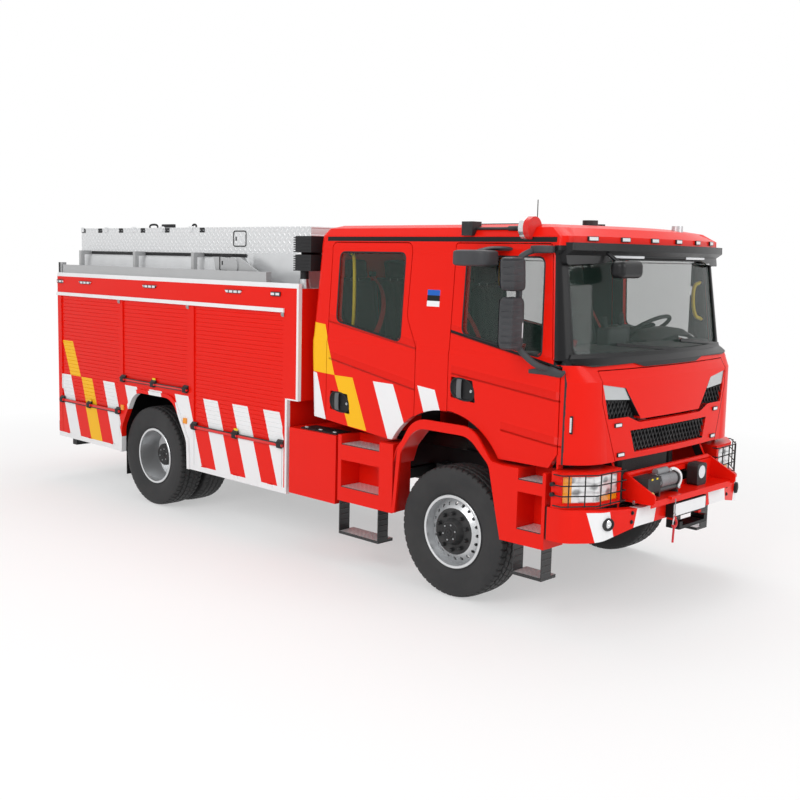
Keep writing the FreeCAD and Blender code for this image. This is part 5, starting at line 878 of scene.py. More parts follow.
def tyreGrid(x, y, turns, treadSteps):
    flank = eased(tyre["flank"], 2)
    mid = np.linspace(tyre["tread"] + tyre["past"], -tyre["tread"] - tyre["past"], treadSteps)
    crown = wheelZ - tyre["sunk"] - tyre["fall"] * (np.abs(mid) / tyre["tread"]) ** 5
    section = np.vstack([flank, np.stack([mid, crown], 1), flank[::-1] * (-1, 1)])
    s, r = section[:, 0][None], section[:, 1][None]
    a = np.linspace(0, 2 * np.pi, turns, endpoint=False)[:, None]
    beat = a / (2 * np.pi) * tyre["blocks"]
    zigzag = np.abs((beat % 1) - 0.5) * 4 - 1
    sink = np.zeros((turns, section.shape[0]))
    for centre in tyre["grooves"]:
        off = np.abs(s - centre - tyre["zigzag"] * zigzag)
        sink = np.maximum(sink, np.clip((tyre["grooveWidth"] / 2 + 0.002 - off) / 0.003, 0, 1))
    notch = ((beat + 0.25 * np.sign(s)) % 1 < 0.2) * (np.abs(s) > tyre["notchIn"]) * tyre["notch"]
    slit = (((beat + s * 9) % 1) < 0.13) * (np.abs(s) < tyre["slitOut"]) * tyre["slit"]
    low, span = tyre["shoulder"]
    sink = np.maximum(sink, np.maximum(notch, slit)) * np.clip((r - low) / span, 0, 1)
    ridge = sum(high * np.exp(-((r - at) / wide) ** 2) for high, at, wide in tyre["ridges"])
    radius = r - sink * tyre["depth"]
    along = s + np.sign(s) * (ridge - sink * 0.003)
    return np.stack([x + radius * np.cos(a), y + along + 0 * a, wheelZ + radius * np.sin(a)], -1)


def makeTyres():
    for side, sign in sides:
        front = Weave().add(tyreGrid(0, sign * tyre["outerY"], *tyre["fine"]), (True, True))
        made = front.make("frontTyreTread_" + side, ["tyreRubber"], "wheel_front_" + side)
        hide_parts("front_tyre_" + side)
        rear = Weave().add(tyreGrid(-wheelbase, sign * tyre["outerY"], *tyre["fine"]), (True, True))
        rear.add(tyreGrid(-wheelbase, sign * tyre["innerY"], *tyre["coarse"]), (True, True))
        made = rear.make("rearTyreTread_" + side, ["tyreRubber"], "wheels_rear_" + side)
        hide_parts("rear_tyres_" + side)


# nut caps, hub cap with its bolts and the silver ring at the rim's edge, all turned profiles; each place
# gives x, the nuts' face, the hub's end, the cap's radius and the body
hub = {"places": {"front": (0, 1.2035, 1.2525, 0.083, "wheel_front_"),
                  "rear": (-wheelbase, 0.935, 1.1055, 0.1, "wheels_rear_")},
       "nuts": 10, "nutCircle": 0.149, "bolts": 6, "boltCircle": 0.064, "boltOut": 0.0015, "lipY": 1.211,
       "nut": [(0, 0.0185), (0.006, 0.0185), (0.0065, 0.0165), (0.027, 0.0155), (0.034, 0.012),
               (0.037, 0.006), (0.0375, 0)],
       "edge": [(0, 0), (0.004, 0.001), (0.0045, 0.008), (0.0015, 0.011)],
       "cap": [(0.0015, 0.052), (0.006, 0.049), (0.0065, 0.04), (0.003, 0.037), (0.003, 0.024),
               (0.0085, 0.022), (0.009, 0.014), (0.005, 0.012), (0.005, 0)],
       "bolt": [(0, 0.0075), (0.004, 0.007), (0.005, 0.004), (0.005, 0)],
       "lip": [(0.0, 0.2985), (0.003, 0.301), (0.009, 0.3005), (0.0125, 0.2965), (0.0125, 0.285),
               (0.008, 0.279), (0.0, 0.277)]}


def aroundWheel(x, y, circle, count, shift):
    turns = 2 * np.pi * (np.arange(count) + shift) / count
    return [(x + circle * math.cos(a), y, wheelZ + circle * math.sin(a)) for a in turns]


def makeHubs():
    for side, sign in sides:
        axis = (0, sign, 0)
        for place, (x, face, end, wide, body) in hub["places"].items():
            work = Weave()
            for spot in aroundWheel(x, sign * face, hub["nutCircle"], hub["nuts"], 0.5):
                work.lathe(0, hub["nut"], spot, axis, 12)
            rings = [(along, wide - drawn) for along, drawn in hub["edge"]] + hub["cap"]
            work.lathe(0, rings, (x, sign * end, wheelZ), axis, 36)
            capY = sign * (end + hub["boltOut"])
            for spot in aroundWheel(x, capY, hub["boltCircle"], hub["bolts"], 0.25):
                work.lathe(1, hub["bolt"], spot, axis, 10)
            work.lathe(2, hub["lip"], (x, sign * hub["lipY"], wheelZ), axis, 72)
            work.make("hubFittings_%s_%s" % (place, side), ["hubBlack", "steelBolt", "rimBright"],
                      body + side)


# door handles: a black dish in each recess, its rim, the grip across it and the lock
# dish: rows from the rim to the middle, each a share of the outline and a depth
handle = {"corner": {"front": (-0.062, 1.606), "rear": (-1.472, 1.35)}, "size": (0.255, 0.19),
          "skin": 1.215, "outline": [(0.0, 0.12), (1.0, 0.0), (0.86, 0.92), (0.0, 1.0)],
          "dish": ((0.985, 0.0005), (0.95, 0.004), (0.9, 0.013), (0.8, 0.019), (0.5, 0.021), (0.02, 0.021)),
          "rim": (0.006, 0.004), "rimOut": 0.0005, "grip": (0.025, 0.007), "gripX": -0.035,
          "gripYZ": ((1.206, 0.082), (1.2165, 0.062), (1.2165, -0.058), (1.206, -0.078)),
          "lock": (0.075, 1.1945, -0.01),
          "lockRings": [(0, 0.013), (0.004, 0.0125), (0.005, 0.01), (0.003, 0.007), (0.003, 0)]}


def makeHandles():
    for place, corner in handle["corner"].items():
        corners = np.array(handle["outline"]) * handle["size"] + corner
        middle = corners.mean(0)
        ring = eased(corners, 3, True)
        for side, sign in sides:
            work = Weave()
            rows = [upright(middle + (ring - middle) * share, sign * (handle["skin"] - depth))
                    for share, depth in handle["dish"]]
            work.add(rows, (False, True), 0)
            rim = upright(ring, sign * (handle["skin"] + handle["rimOut"]))
            work.rod(0, rim, *handle["rim"], 8, True, (0, 1, 0))
            grip = [(middle[0] + handle["gripX"], sign * y, middle[1] + z) for y, z in handle["gripYZ"]]
            work.rod(1, eased(grip), *handle["grip"], 12, up=(0, 1, 0))
            x, y, z = handle["lock"]
            work.lathe(2, handle["lockRings"], (middle[0] + x, sign * y, middle[1] + z), (0, sign, 0), 16)
            tints = ["blackPlastic", "greyPlastic", "steelBolt"]
            work.make("doorHandle_%s_%s" % (place, side), tints, "door_%s_%s" % (place[0], side))


# rubber round the door windows and the windscreen: a bead carried round the glass's outline
window = {"front": [(0.02, 2.14), (0.80, 2.012), (0.765, 2.752), (0.02, 2.752)],
          "rear": [(-1.426, 2.16), (-0.64, 2.03), (-0.64, 2.768), (-1.426, 2.768)],
          "screen": [(-1.085, 2.03), (1.085, 2.03), (1.07, 2.75), (-1.07, 2.75)],
          "doorRound": 0.06, "screenRound": 0.07, "doorGrown": (1.012, 1.016), "screenGrown": (1.012, 1.03),
          "doorBead": (0.0075, 0.0045), "screenBead": (0.011, 0.006), "stand": 0.001, "long": 0.3}


# an outline with more points: long spans get one count, short ones the other
def filled(outline, longCount, shortCount):
    rows = []
    for a, b in zip(outline, np.roll(outline, -1, 0)):
        count = longCount if np.hypot(*(b - a)) > window["long"] else shortCount
        rows.append(a + (b - a) * np.linspace(0, 1, count)[:-1, None])
    return np.vstack(rows)


def grown(outline, shares):
    return (outline - outline.mean(0)) * shares + outline.mean(0)


def makeSeals():
    for place in ("front", "rear"):
        dense = filled(rounded(window[place], window["doorRound"]), 5, 5)
        probe = upright(grown(dense, window["doorGrown"]), -1.5)
        skin = settle(probe, (0, 1, 0), ["door_%s_right" % place])[:, 1]
        line = upright(dense, skin + window["stand"])
        for side, sign in (("left", -1), ("right", 1)):
            work = Weave().rod(0, line * (1, sign, 1), *window["doorBead"], 8, True, (0, 1, 0))
            work.make("windowRubber_%s_%s" % (place, side), ["sealRubber"], "door_%s_%s" % (place[0], side))
    dense = filled(rounded(window["screen"], window["screenRound"]), 13, 3)
    probe = np.column_stack([np.full(len(dense), 2.0), grown(dense, window["screenGrown"])])
    skin = settle(probe, (-1, 0, 0), ["cab_shell"])[:, 0]
    line = np.column_stack([skin + window["stand"], dense])
    work = Weave().rod(0, line, *window["screenBead"], 8, True, (1, 0, 0))
    work.make("screenRubber", ["sealRubber"], "cab")


# grab rails in the cab, each with a foot at both ends
rail = {"paths": {"rear": [(-1.375, 1.075, 2.76), (-1.375, 1.03, 2.73), (-1.375, 1.03, 2.10),
                           (-1.375, 1.075, 2.06)],
                  "front": [(0.83, 1.055, 2.56), (0.80, 0.985, 2.53), (0.82, 0.985, 2.27),
                            (0.86, 1.06, 2.24)],
                  "bulkhead": [(-0.55, 1.07, 2.7), (-0.55, 1.02, 2.66), (-0.55, 1.02, 1.95),
                               (-0.55, 1.07, 1.9)]},
        "radius": 0.016, "footOut": 0.004,
        "foot": [(-0.006, 0.03), (0.004, 0.03), (0.01, 0.026), (0.012, 0)]}


def makeRails():
    for name, path in rail["paths"].items():
        for side, sign in sides:
            line = eased(path) * (1, sign, 1)
            work = Weave().rod(0, line, rail["radius"], sides=12)
            for end in (0, -1):
                work.lathe(1, rail["foot"], line[end] + (0, rail["footOut"] * sign, 0), (0, -sign, 0), 20)
            body = "door_r_" + side if name == "rear" else "cab"
            work.make("grabRail_%s_%s" % (name, side), ["gripYellow", "blackPlastic"], body)


# belts: y of each seat and which way its belt lies; points are x, y off the seat's middle, z
belts = {"front": {"seats": {-0.64: -1, 0.64: 1},
                   "webs": [([(-0.42, 0.3, 2.52), (-0.28, 0.27, 2.42), (-0.05, 0.25, 2.12),
                              (0.02, 0.27, 1.9)],
                             (1, 0, 0.4)),
                            ([(-0.42, 0.3, 2.55), (-0.43, 0.3, 2.3), (-0.43, 0.3, 1.75)], (1, 0, 0))],
                   "anchor": ((-0.42, 0.3, 2.55), (0.03, 0.07, 0.06)),
                   "buckle": ((0.0, -0.26, 1.98), (0.03, 0.055, 0.1)), "lean": 20},
         "bench": {"seats": {-0.78: 1, -0.27: 1, 0.27: 1, 0.78: 1},
                   "webs": [([(-1.60, 0.2, 2.56), (-1.42, 0.17, 2.42), (-1.30, 0.05, 2.2),
                              (-1.22, -0.16, 2.0)],
                             (1, 0, 0.5))],
                   "anchor": ((-1.6, 0.2, 2.57), (0.04, 0.07, 0.05)),
                   "buckle": ((-1.2, -0.2, 1.985), (0.03, 0.05, 0.09)), "lean": 25}}
webbing = {"half": 0.024, "thick": 0.0015, "round": 0.012}


def makeBelts():
    work = Weave()
    for plan in belts.values():
        for y, sign in plan["seats"].items():
            turn, shift = np.array((1, sign, 1)), (0, y, 0)
            for points, up in plan["webs"]:
                path = eased(np.array(points) * turn + shift)
                work.rod(0, path, webbing["half"], webbing["thick"], 8, up=up)
            (anchor, anchorSize), (buckle, buckleSize) = plan["anchor"], plan["buckle"]
            work.block(1, turn * anchor + shift, anchorSize, webbing["round"])
            lean = turnAbout("Y", plan["lean"])
            work.block(2, turn * buckle + shift, buckleSize, webbing["round"], turn=lean)
    work.make("seatBelts", ["beltWebbing", "blackPlastic", "redLens"], "cab")


# dashboard: a hood over the dials, blocks for dials, screen, radio and their faces, vents, the wheel's
# boss and spokes, and microphones; a block is its slot, centre, size, round edge, axis and degrees
dash = {"hood": [(0.66, 0.30, 2.075), (0.68, 0.36, 2.15), (0.68, 0.64, 2.175), (0.68, 0.92, 2.15),
                 (0.66, 0.98, 2.075)],
        "hoodRows": ((0.0, 0, -0.05), (-0.035, 0, 0), (0.0, 0, 0.012), (0.11, 0, 0.004), (0.2, 0, -0.05)),
        "blocks": [(1, (0.735, 0.64, 2.085), (0.02, 0.5, 0.09), 0.009, "Y", -18),
                   (0, (0.69, -0.02, 2.12), (0.12, 0.30, 0.19), 0.02, "Z", 12),
                   (1, (0.625, -0.035, 2.13), (0.008, 0.22, 0.12), 0.004, "Z", 12),
                   (0, (0.82, -0.30, 2.13), (0.16, 0.20, 0.16), 0.03, "Z", -15),
                   (2, (0.745, -0.32, 2.16), (0.006, 0.10, 0.05), 0.003, "Z", -15)],
        "ventYs": (-0.78, -0.52, 0.18), "vent": (0.715, 2.03), "ventSize": (0.02, 0.15, 0.06),
        "slats": 4, "slat": (0.703, 2.01), "slatPitch": 0.013, "slatSize": (0.012, 0.135, 0.004),
        "boss": (0.57, 0.64, 2.15), "bossLean": (-0.55, 0, 0.83), "spokes": (0, 60, 120, 180),
        "bossRings": [(-0.03, 0.05), (0.0, 0.085), (0.018, 0.08), (0.028, 0.055), (0.03, 0)],
        "spokeReach": (0.06, 0.13, 0.208), "spokeSag": 0.008, "spoke": (0.02, 0.009),
        "micYZ": ((-0.12, 2.27), (-0.36, 2.25)), "micX": 0.78, "micSize": (0.035, 0.06, 0.10)}


def makeDashFittings():
    work = Weave()
    work.add([eased(dash["hood"]) + shift for shift in dash["hoodRows"]])
    for slot, centre, size, round, axis, degrees in dash["blocks"]:
        work.block(slot, centre, size, round, turn=turnAbout(axis, degrees))
    for y in dash["ventYs"]:
        x, z = dash["vent"]
        work.block(1, (x, y, z), dash["ventSize"], 0.009, turn=turnAbout("Y", -18))
        x, z = dash["slat"]
        for slat in range(dash["slats"]):
            work.block(0, (x, y, z + slat * dash["slatPitch"]), dash["slatSize"], 0.0019, 2)
    boss, lean = np.array(dash["boss"]), unit(dash["bossLean"])
    work.lathe(1, dash["bossRings"], boss, lean, 28)
    for angle in dash["spokes"]:
        a = math.radians(angle)
        way = unit(np.array((0, math.cos(a), 0)) - np.cross((0, 1, 0), lean) * math.sin(a))
        near, middle, far = dash["spokeReach"]
        path = [boss + way * near, boss + way * middle - lean * dash["spokeSag"], boss + way * far]
        work.rod(1, path, *dash["spoke"], 10, up=lean)
    for y, z in dash["micYZ"]:
        work.block(1, (dash["micX"], y, z), dash["micSize"], 0.014, turn=turnAbout("X", 12))
    work.make("dashFittings", ["dashPlastic", "blackPlastic", "clearLens"], "cab")


# seats: x and ys of each row; frames give x off the row's, z, size, round edge and lean; pads their form,
# sewn channels as (line, direction, depth), lean, x off the row's, and z
seat = {"rows": {"front": (0.06, (-0.64, 0.64)), "bench": (-1.34, (-0.78, -0.26, 0.26, 0.78))},
        "frames": [(0, 1.69, (0.36, 0.34, 0.272), 0.03, 0), (0, 1.84, (0.44, 0.45, 0.035), 0.016, 0),
                   (-0.26, 2.20, (0.03, 0.43, 0.68), 0.014, -8)],
        "posts": (-0.05, 0.05), "post": (-0.285, 2.47), "postRise": (-0.016, 0, 0.11), "postRadius": 0.007,
        "forms": {"seatPad": ((0.42, 0.43, 0.10), 0.008, 0.012),
                  "backPad": ((0.58, 0.42, 0.10), 0.008, 0.012),
                  "headPad": ((0.17, 0.24, 0.085), 0.006, 0.008)},
        "pads": {"cushion": ("seatPad", [(0.12, 1, 0.006), (-0.12, 1, 0.006), (0.13, 0, 0.004)],
                             -4, 0.012, 1.912),
                 "backrest": ("backPad", [(0.12, 1, 0.006), (-0.12, 1, 0.006), (0.0, 0, 0.005)],
                              -98, -0.2, 2.235),
                 "headrest": ("headPad", [], -98, -0.275, 2.615)},
        "pull": 0.035, "channel": 0.011, "voxel": 0.0125, "quickVoxel": 0.022, "pressure": 4.0, "ticks": 20}


# a closed form: a box whose faces swell by crown and whose sides pull in between the corners
def padShape(size, crown, pull):
    grid = cushion((0, 0, 0), size, min(size) * 0.32, 5)
    share = grid / (np.array(size) / 2)
    grid[..., 2] += np.sign(grid[..., 2]) * crown * (1 - share[..., 0] ** 2) * (1 - share[..., 1] ** 2)
    grid[..., 0] *= 1 - pull * (1 - share[..., 1] ** 2)
    grid[..., 1] *= 1 - pull * (1 - share[..., 0] ** 2)
    return grid


# a thing's points and faces as its modifiers leave them; the thing goes
def solvedMesh(thing):
    solved = thing.evaluated_get(bpy.context.evaluated_depsgraph_get())
    mesh = solved.to_mesh()
    points = np.empty(len(mesh.vertices) * 3)
    mesh.vertices.foreach_get("co", points)
    faces = [tuple(face.vertices) for face in mesh.polygons]
    solved.to_mesh_clear()
    bpy.data.objects.remove(thing)
    return points.reshape(-1, 3), faces


# a pad blown up as cloth, no further than cap from its form
def puffed(name, size, crown, cap):
    work = Weave().add(padShape(size, crown, seat["pull"]), (False, True))
    pad = linked(name, meshOf(name, work.points[0], work.faces[0].tolist()))
    remesh = pad.modifiers.new("voxels", "REMESH")
    remesh.mode, remesh.voxel_size = "VOXEL", seat["voxel"]
    points, faces = solvedMesh(pad)
    pad = linked(name, meshOf(name, points, faces))
    cloth = pad.modifiers.new("cloth", "CLOTH")
    cloth.settings.use_pressure, cloth.settings.uniform_pressure_force = True, seat["pressure"]
    cloth.settings.effector_weights.gravity = 0
    cloth.settings.quality = 5
    cloth.point_cache.frame_start, cloth.point_cache.frame_end = 1, seat["ticks"]
    for tick in range(1, seat["ticks"] + 1):
        bpy.context.scene.frame_set(tick)
    move = solvedMesh(pad)[0] - points
    bpy.context.scene.frame_set(1)
    far = np.linalg.norm(move, axis=1, keepdims=True)
    return points + move * np.minimum(1, cap / np.maximum(far, 1e-9)), faces


def placePad(name, pad, channels, turn, spot):
    points, faces = pad[0].copy(), pad[1]
    # the face sinks along each sewn line
    for line, way, depth in channels:
        off = np.abs(points[:, way] - line)
        sunk = depth * np.exp(-(off / seat["channel"]) ** 2) * (np.abs(points[:, 2]) > 0.02)
        points[:, 2] -= np.sign(points[:, 2]) * sunk
    mesh = meshOf(name, points @ turn.T + np.array(spot) + (frontAxle, 0, 0), faces)
    mesh.materials.append(finish["seatCloth"])
    mesh.polygons.foreach_set("use_smooth", np.ones(len(mesh.polygons), bool))
    piece = linked(name, mesh)
    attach(piece, "cab")
    return piece


def makeSeats():
    forms = {name: puffed(name, *form) for name, form in seat["forms"].items()}
    frames = Weave()
    soft = []
    for row, (x, ys) in seat["rows"].items():
        for index, y in enumerate(ys):
            for off, z, size, round, lean in seat["frames"]:
                frames.block(0, (x + off, y, z), size, round, turn=turnAbout("Y", lean))
            for post in seat["posts"]:
                foot = np.array((x + seat["post"][0], y + post, seat["post"][1]))
                frames.rod(1, [foot, foot + seat["postRise"]], seat["postRadius"], sides=10)
            for kind, (form, channels, lean, off, z) in seat["pads"].items():
                name = "%s_%s_%d" % (kind, row, index)
                soft.append(placePad(name, forms[form], channels, turnAbout("Y", lean), (x + off, y, z)))
    for piece in [frames.make("seatFrames", ["dashPlastic", "steelBolt"], "cab")] + soft:
        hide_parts("seats")


# mirrors: two heads on each side, in a tube's bend from the belt line up to the roof's edge, and a third
# over the right door; heads are low, high, the ribs' pitch and how far the top leans out
mirror = {"x": 0.66, "depth": 0.12, "y": 1.395, "half": 0.105,
          "heads": ((2.07, 2.46, 0.0465, 0.0), (2.50, 2.75, 0.05, 0.008)), "rim": 0.02,
          "strip": (0.714, 1.338, 2.215), "stripSize": (0.012, 0.014, 0.115),
          "arm": 0.024, "stem": 1.32, "foot": (0.87, 1.215, 1.935), "pivot": (0.74, 1.155, 2.805),
          "cap": (0.76, 1.185, 2.809), "capSize": (0.19, 0.115, 0.058),
          "wedge": [(0.70, 1.905, 0.012), (0.80, 1.915, 0.02), (0.90, 1.925, 0.03), (0.985, 1.905, 0.022),
                    (1.02, 1.93, 0.010)], "wedgeY": 1.217, "wedgeForm": (1, 0.62, 1.25),
          "third": (0.255, -1.343, 2.736), "thirdSize": (0.35, 0.214, 0.126),
          "thirdArm": [(0.43, -1.10, 2.806), (0.40, -1.17, 2.812), (0.33, -1.27, 2.812),
                       (0.25, -1.36, 2.775)]}


def mirrorHeads(work, sign):
    x, y, rim, depth = mirror["x"], mirror["y"], mirror["rim"], mirror["depth"]
    for low, high, pitch, lean in mirror["heads"]:
        middle = (x, sign * y, (low + high) / 2)
        work.shell(0, middle, (depth - 0.003, 2 * mirror["half"] - rim, high - low), 6.0, 0.9,
                   (pitch, 0.013, -0.5, 0.5, -0.42), 96, sign * lean)
        tall = (high - low) / 2 - rim
        # the pane's outline, its width in shares
        outline = rounded([(-1, -tall), (1, -tall), (1, tall), (-1, tall)], 0.02)
        outline = outline * (sign * (mirror["half"] - rim), 1) + middle[1:]
        pane = np.column_stack([np.full(len(outline), x - depth / 2 + 0.001), outline])
        work.add([pane.mean(0) + (pane - pane.mean(0)) * share for share in (1.0, 0.5, 0.02)],
                 (False, True), 2)


def mirrorWedge(work, sign):
    wedge = mirror["wedge"]
    path = eased([(x, sign * mirror["wedgeY"], z) for x, z, _ in wedge], 2)
    thick = np.interp(path[:, 0], [x for x, _, _ in wedge], [size for _, _, size in wedge])
    line = np.concatenate([path[:1], path, path[-1:]])[:, None]
    size = np.concatenate([thick[:1], thick, thick[-1:]])[:, None, None]
    grid = bar(path, 1.0, 1.0, 16, up=(0, 1, 0))
    work.add(line + (grid - line) * size * mirror["wedgeForm"], (False, True), 0)


def makeMirrors():
    for side, sign in sides:
        work = Weave()
        turn, arm = np.array((1, sign, 1)), mirror["arm"]
        mirrorHeads(work, sign)
        work.block(1, turn * mirror["strip"], mirror["stripSize"], 0.005)
        low, high = mirror["heads"][0][0], mirror["heads"][1][1]
        stem = np.array((mirror["x"], sign * mirror["stem"], 0))
        work.rod(0, [stem + (0, 0, low + 0.03), stem + (0, 0, high - 0.03)], arm, sides=16)
        foot, pivot = turn * mirror["foot"], turn * mirror["pivot"]
        lower = [foot, foot + (-0.08, sign * 0.06, 0.03), stem + (0.02, 0, low), stem + (0, 0, low + 0.04)]
        work.rod(0, eased(lower), arm, sides=16)
        upper = [pivot, pivot + (-0.04, sign * 0.05, 0.0), stem + (0, -sign * 0.01, high + 0.01),
                 stem + (0, 0, high - 0.03)]
        work.rod(0, eased(upper), arm * 0.95, sides=16)
        work.shell(0, turn * mirror["cap"], mirror["capSize"], 3.0, 0.9, None, 14)
        mirrorWedge(work, sign)
        if side == "right":
            work.shell(0, mirror["third"], mirror["thirdSize"], 3.6, 1.0, None, 26)
            work.rod(0, eased(mirror["thirdArm"]), 0.056, 0.017, 14, up=(0, 0, 1))
        heads = work.make("mirrorHeads_" + side, ["mirrorShell", "clearLens", "mirrorGlass"],
                          "door_f_" + side)
        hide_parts("mirrors_" + side)


# a six-sided bolt head on its washer, standing along an axis; (along, radius) in shares of its size
boltProfile = [(0, 1.0), (0.12, 1.0), (0.14, 0.66), (0.55, 0.66), (0.66, 0.56), (0.66, 0)]


def bolts(work, spots, axis, size, slot=1):
    for spot in spots:
        work.lathe(slot, np.array(boltProfile) * size, spot, axis, 12)


def makeShutterFittings():
    work = Weave()
    y, ribY, tagY = -shutter["barY"], -shutter["barY"] - 0.0175, -1.272
    for (rear, front), z in zip(shutter["xs"], shutter["bars"]):
        middle = (rear + front) / 2
        for x in (rear + shutter["capIn"], middle, front - shutter["capIn"]):
            work.block(0, (x, y, z), shutter["caps"], 0.012)
            for row in (-1, 0, 1):
                work.block(0, (x, ribY, z + row * shutter["ribPitch"]), shutter["ribs"], 0.0019, 2)
        work.block(1, (middle, tagY, z + shutter["tagUp"]), shutter["tag"], 0.0018, 2)
    for x in shutter["hooks"]:
        z = shutter["hookZ"]
        work.block(2, (x, -1.2745, z), (0.03, 0.007, 0.05), 0.003, 2)
        bend = [(x, -1.277, z - 0.014), (x, -1.292, z - 0.018), (x, -1.296, z + 0.012)]
        work.rod(2, eased(bend, 2), 0.004, sides=8)
    work.twin().make("shutterFittings", ["blackPlastic", "gripYellow", "steelBolt"], "chassis")


# winch: rope laps and cheeks on the drum, hose, brass coupling, motor, plates and nuts, with x from
# the drum's axis; the rope itself is a cord
winch = {"drum": (1.318, -0.265, 1.056), "radius": 0.0525, "lap": 0.0045, "lapPitch": 0.0105, "half": 0.14,
         "cheek": [(0, 0.05), (0, 0.066), (0.004, 0.068), (0.012, 0.068), (0.016, 0.064), (0.016, 0.03)],
         "brass": [(0, 0), (0, 0.024), (0.008, 0.026), (0.016, 0.026), (0.018, 0.021), (0.03, 0.021),
                   (0.032, 0.027), (0.05, 0.027), (0.054, 0.02), (0.07, 0.018), (0.072, 0)],
         "brassAt": (0.052, -0.575, 0.979),
         "hose": [(0.02, -0.215, 1.13), (0.03, -0.16, 1.14), (0.055, -0.105, 1.10), (0.06, -0.10, 1.04),
                  (0.05, -0.125, 0.985)], "hoseRadius": 0.0125, "hoseEnd": (0.034, 0.034, 0.026),
         "motor": [(0, 0), (0, 0.026), (0.16, 0.026), (0.165, 0.02), (0.165, 0)],
         "motorAt": (0.005, -0.40, 1.133), "labels": ((0.066, -0.47, 1.10), (0.066, -0.54, 1.10)),
         "label": (0.004, 0.024, 0.014), "fairlead": (1.4565, -0.31, 0.951), "fairleadHalf": 0.062,
         "gusset": 0.6405, "gussetInner": 0.6255, "gussetXZ": ((1.10, 1.03), (1.12, 0.945), (1.295, 0.925))}


def makeWinchFittings():
    work = Weave()
    drumX, drumY, drumZ = winch["drum"]
    # laps of rope: radius + lap * |sin|
    reach = winch["half"] - 0.012
    laps = [(a, winch["radius"] + winch["lap"] * abs(math.sin(a * math.pi / winch["lapPitch"])))
            for a in np.linspace(-reach, reach, 90)]
    work.lathe(0, [(-reach, 0.04)] + laps + [(reach, 0.04)], winch["drum"], (0, 1, 0), 28)
    for end in (-1, 1):
        spot = (drumX, drumY + end * (winch["half"] - 0.008), drumZ)
        work.lathe(1, winch["cheek"], spot, (0, end, 0), 32)
    ahead = (drumX, 0, 0)
    work.lathe(2, winch["brass"], np.add(winch["brassAt"], ahead), (0, 1, 0), 20)
    hose = eased(np.add(winch["hose"], ahead))
    work.rod(3, hose, winch["hoseRadius"], sides=14)
    for end in (0, -1):
        work.block(1, hose[end], winch["hoseEnd"], 0.008)
    work.lathe(4, winch["motor"], np.add(winch["motorAt"], ahead), (0, 1, 0))
    for spot in winch["labels"]:
        work.block(5, np.add(spot, ahead), winch["label"], 0.0019, 2)
    x, y, z = winch["fairlead"]
    bolts(work, [(x, y + side * winch["fairleadHalf"], z) for side in (-1, 1)], (1, 0, 0), 0.0135)
    for side in (-1, 1):
        bolts(work, [(x, side * winch["gusset"], z) for x, z in winch["gussetXZ"]], (0, side, 0), 0.017)
        x, z = winch["gussetXZ"][-1]
        bolts(work, [(x, side * winch["gussetInner"], z)], (0, -side, 0), 0.017)
    tints = ["ropeGrey", "steelBolt", "brass", "whitePaint", "motorGrey", "gripYellow"]
    work.make("winchFittings", tints, "chassis")


# the blank number plate in its frame, bolts through the bumper, and bowls and rings of the fog lamps
plate = {"x": 1.4125, "half": 0.25, "low": 0.776, "high": 0.871, "round": 0.008, "dome": (0.0022, 0, 0),
         "frameHalf": 0.255, "frameLow": 0.771, "frameHigh": 0.875, "frameRound": 0.012,
         "frame": (0.0035, 0.003)}
fogLamp = {"ahead": 1.46, "boltYZ": ((0.735, 0.868), (0.742, 0.80)), "yz": (0.995, 0.814),
           "axis": (0.94, 0.34, 0), "bowl": [(0.003, 0.0), (0.0085, 0.012), (0.007, 0.024), (0.002, 0.034)],
           "rim": [(0.002, 0.033), (0.012, 0.036), (0.014, 0.041), (0.010, 0.047), (-0.012, 0.048)]}


def plateCorners(half, low, high):
    return fourCorners((plate["x"], 0, (low + high) / 2), (half, (high - low) / 2), (1, 2))


def makeBumperFittings():
    work = Weave()
    ring = rounded(plateCorners(plate["half"], plate["low"], plate["high"]), plate["round"], 4)
    middle = ring.mean(0)
    # domed a little, so that its rim catches light
    rows = [middle + (ring - middle) * share + np.array(plate["dome"]) for share in (1, 0.5, 0.01)]
    work.add([ring] + rows, (False, True), 0)
    outline = plateCorners(plate["frameHalf"], plate["frameLow"], plate["frameHigh"])
    edge = rounded(outline, plate["frameRound"], 4)
    work.rod(1, edge, *plate["frame"], 8, True, (1, 0, 0))
    for side in (-1, 1):
        spots = [(fogLamp["ahead"], side * y, z) for y, z in fogLamp["boltYZ"]]
        bolts(work, settle(spots, (-1, 0, 0), ["front_bumper"]), (1, 0, 0), 0.017)
        y, z = fogLamp["yz"]
        nodes = ["front_bumper", "headlamps", "lamp_guards", "body_lamps", "winch_frame"]
        spot = settle([(fogLamp["ahead"], side * y, z)], (-1, 0, 0), nodes)[0]
        axis = np.array(fogLamp["axis"]) * (1, side, 1)
        work.lathe(2, fogLamp["bowl"], spot, axis, 32)
        work.lathe(1, fogLamp["rim"], spot, axis, 32)
    work.make("bumperFittings", ["whitePaint", "blackPlastic", "lampChrome"], "chassis")


# the hook at the rope's end with its thimble and latch; its lines are y and z from the eye
hook = {"eye": (1.4565, -0.311, 0.812), "thimble": 0.013, "thimbleDown": 0.007,
        "shank": [(0, -0.012), (0.001, -0.04), (0.034, -0.056), (0.033, -0.094), (-0.004, -0.103),
                  (-0.024, -0.08)],
        "latch": [(-0.006, -0.022), (-0.017, -0.05), (-0.022, -0.08)]}


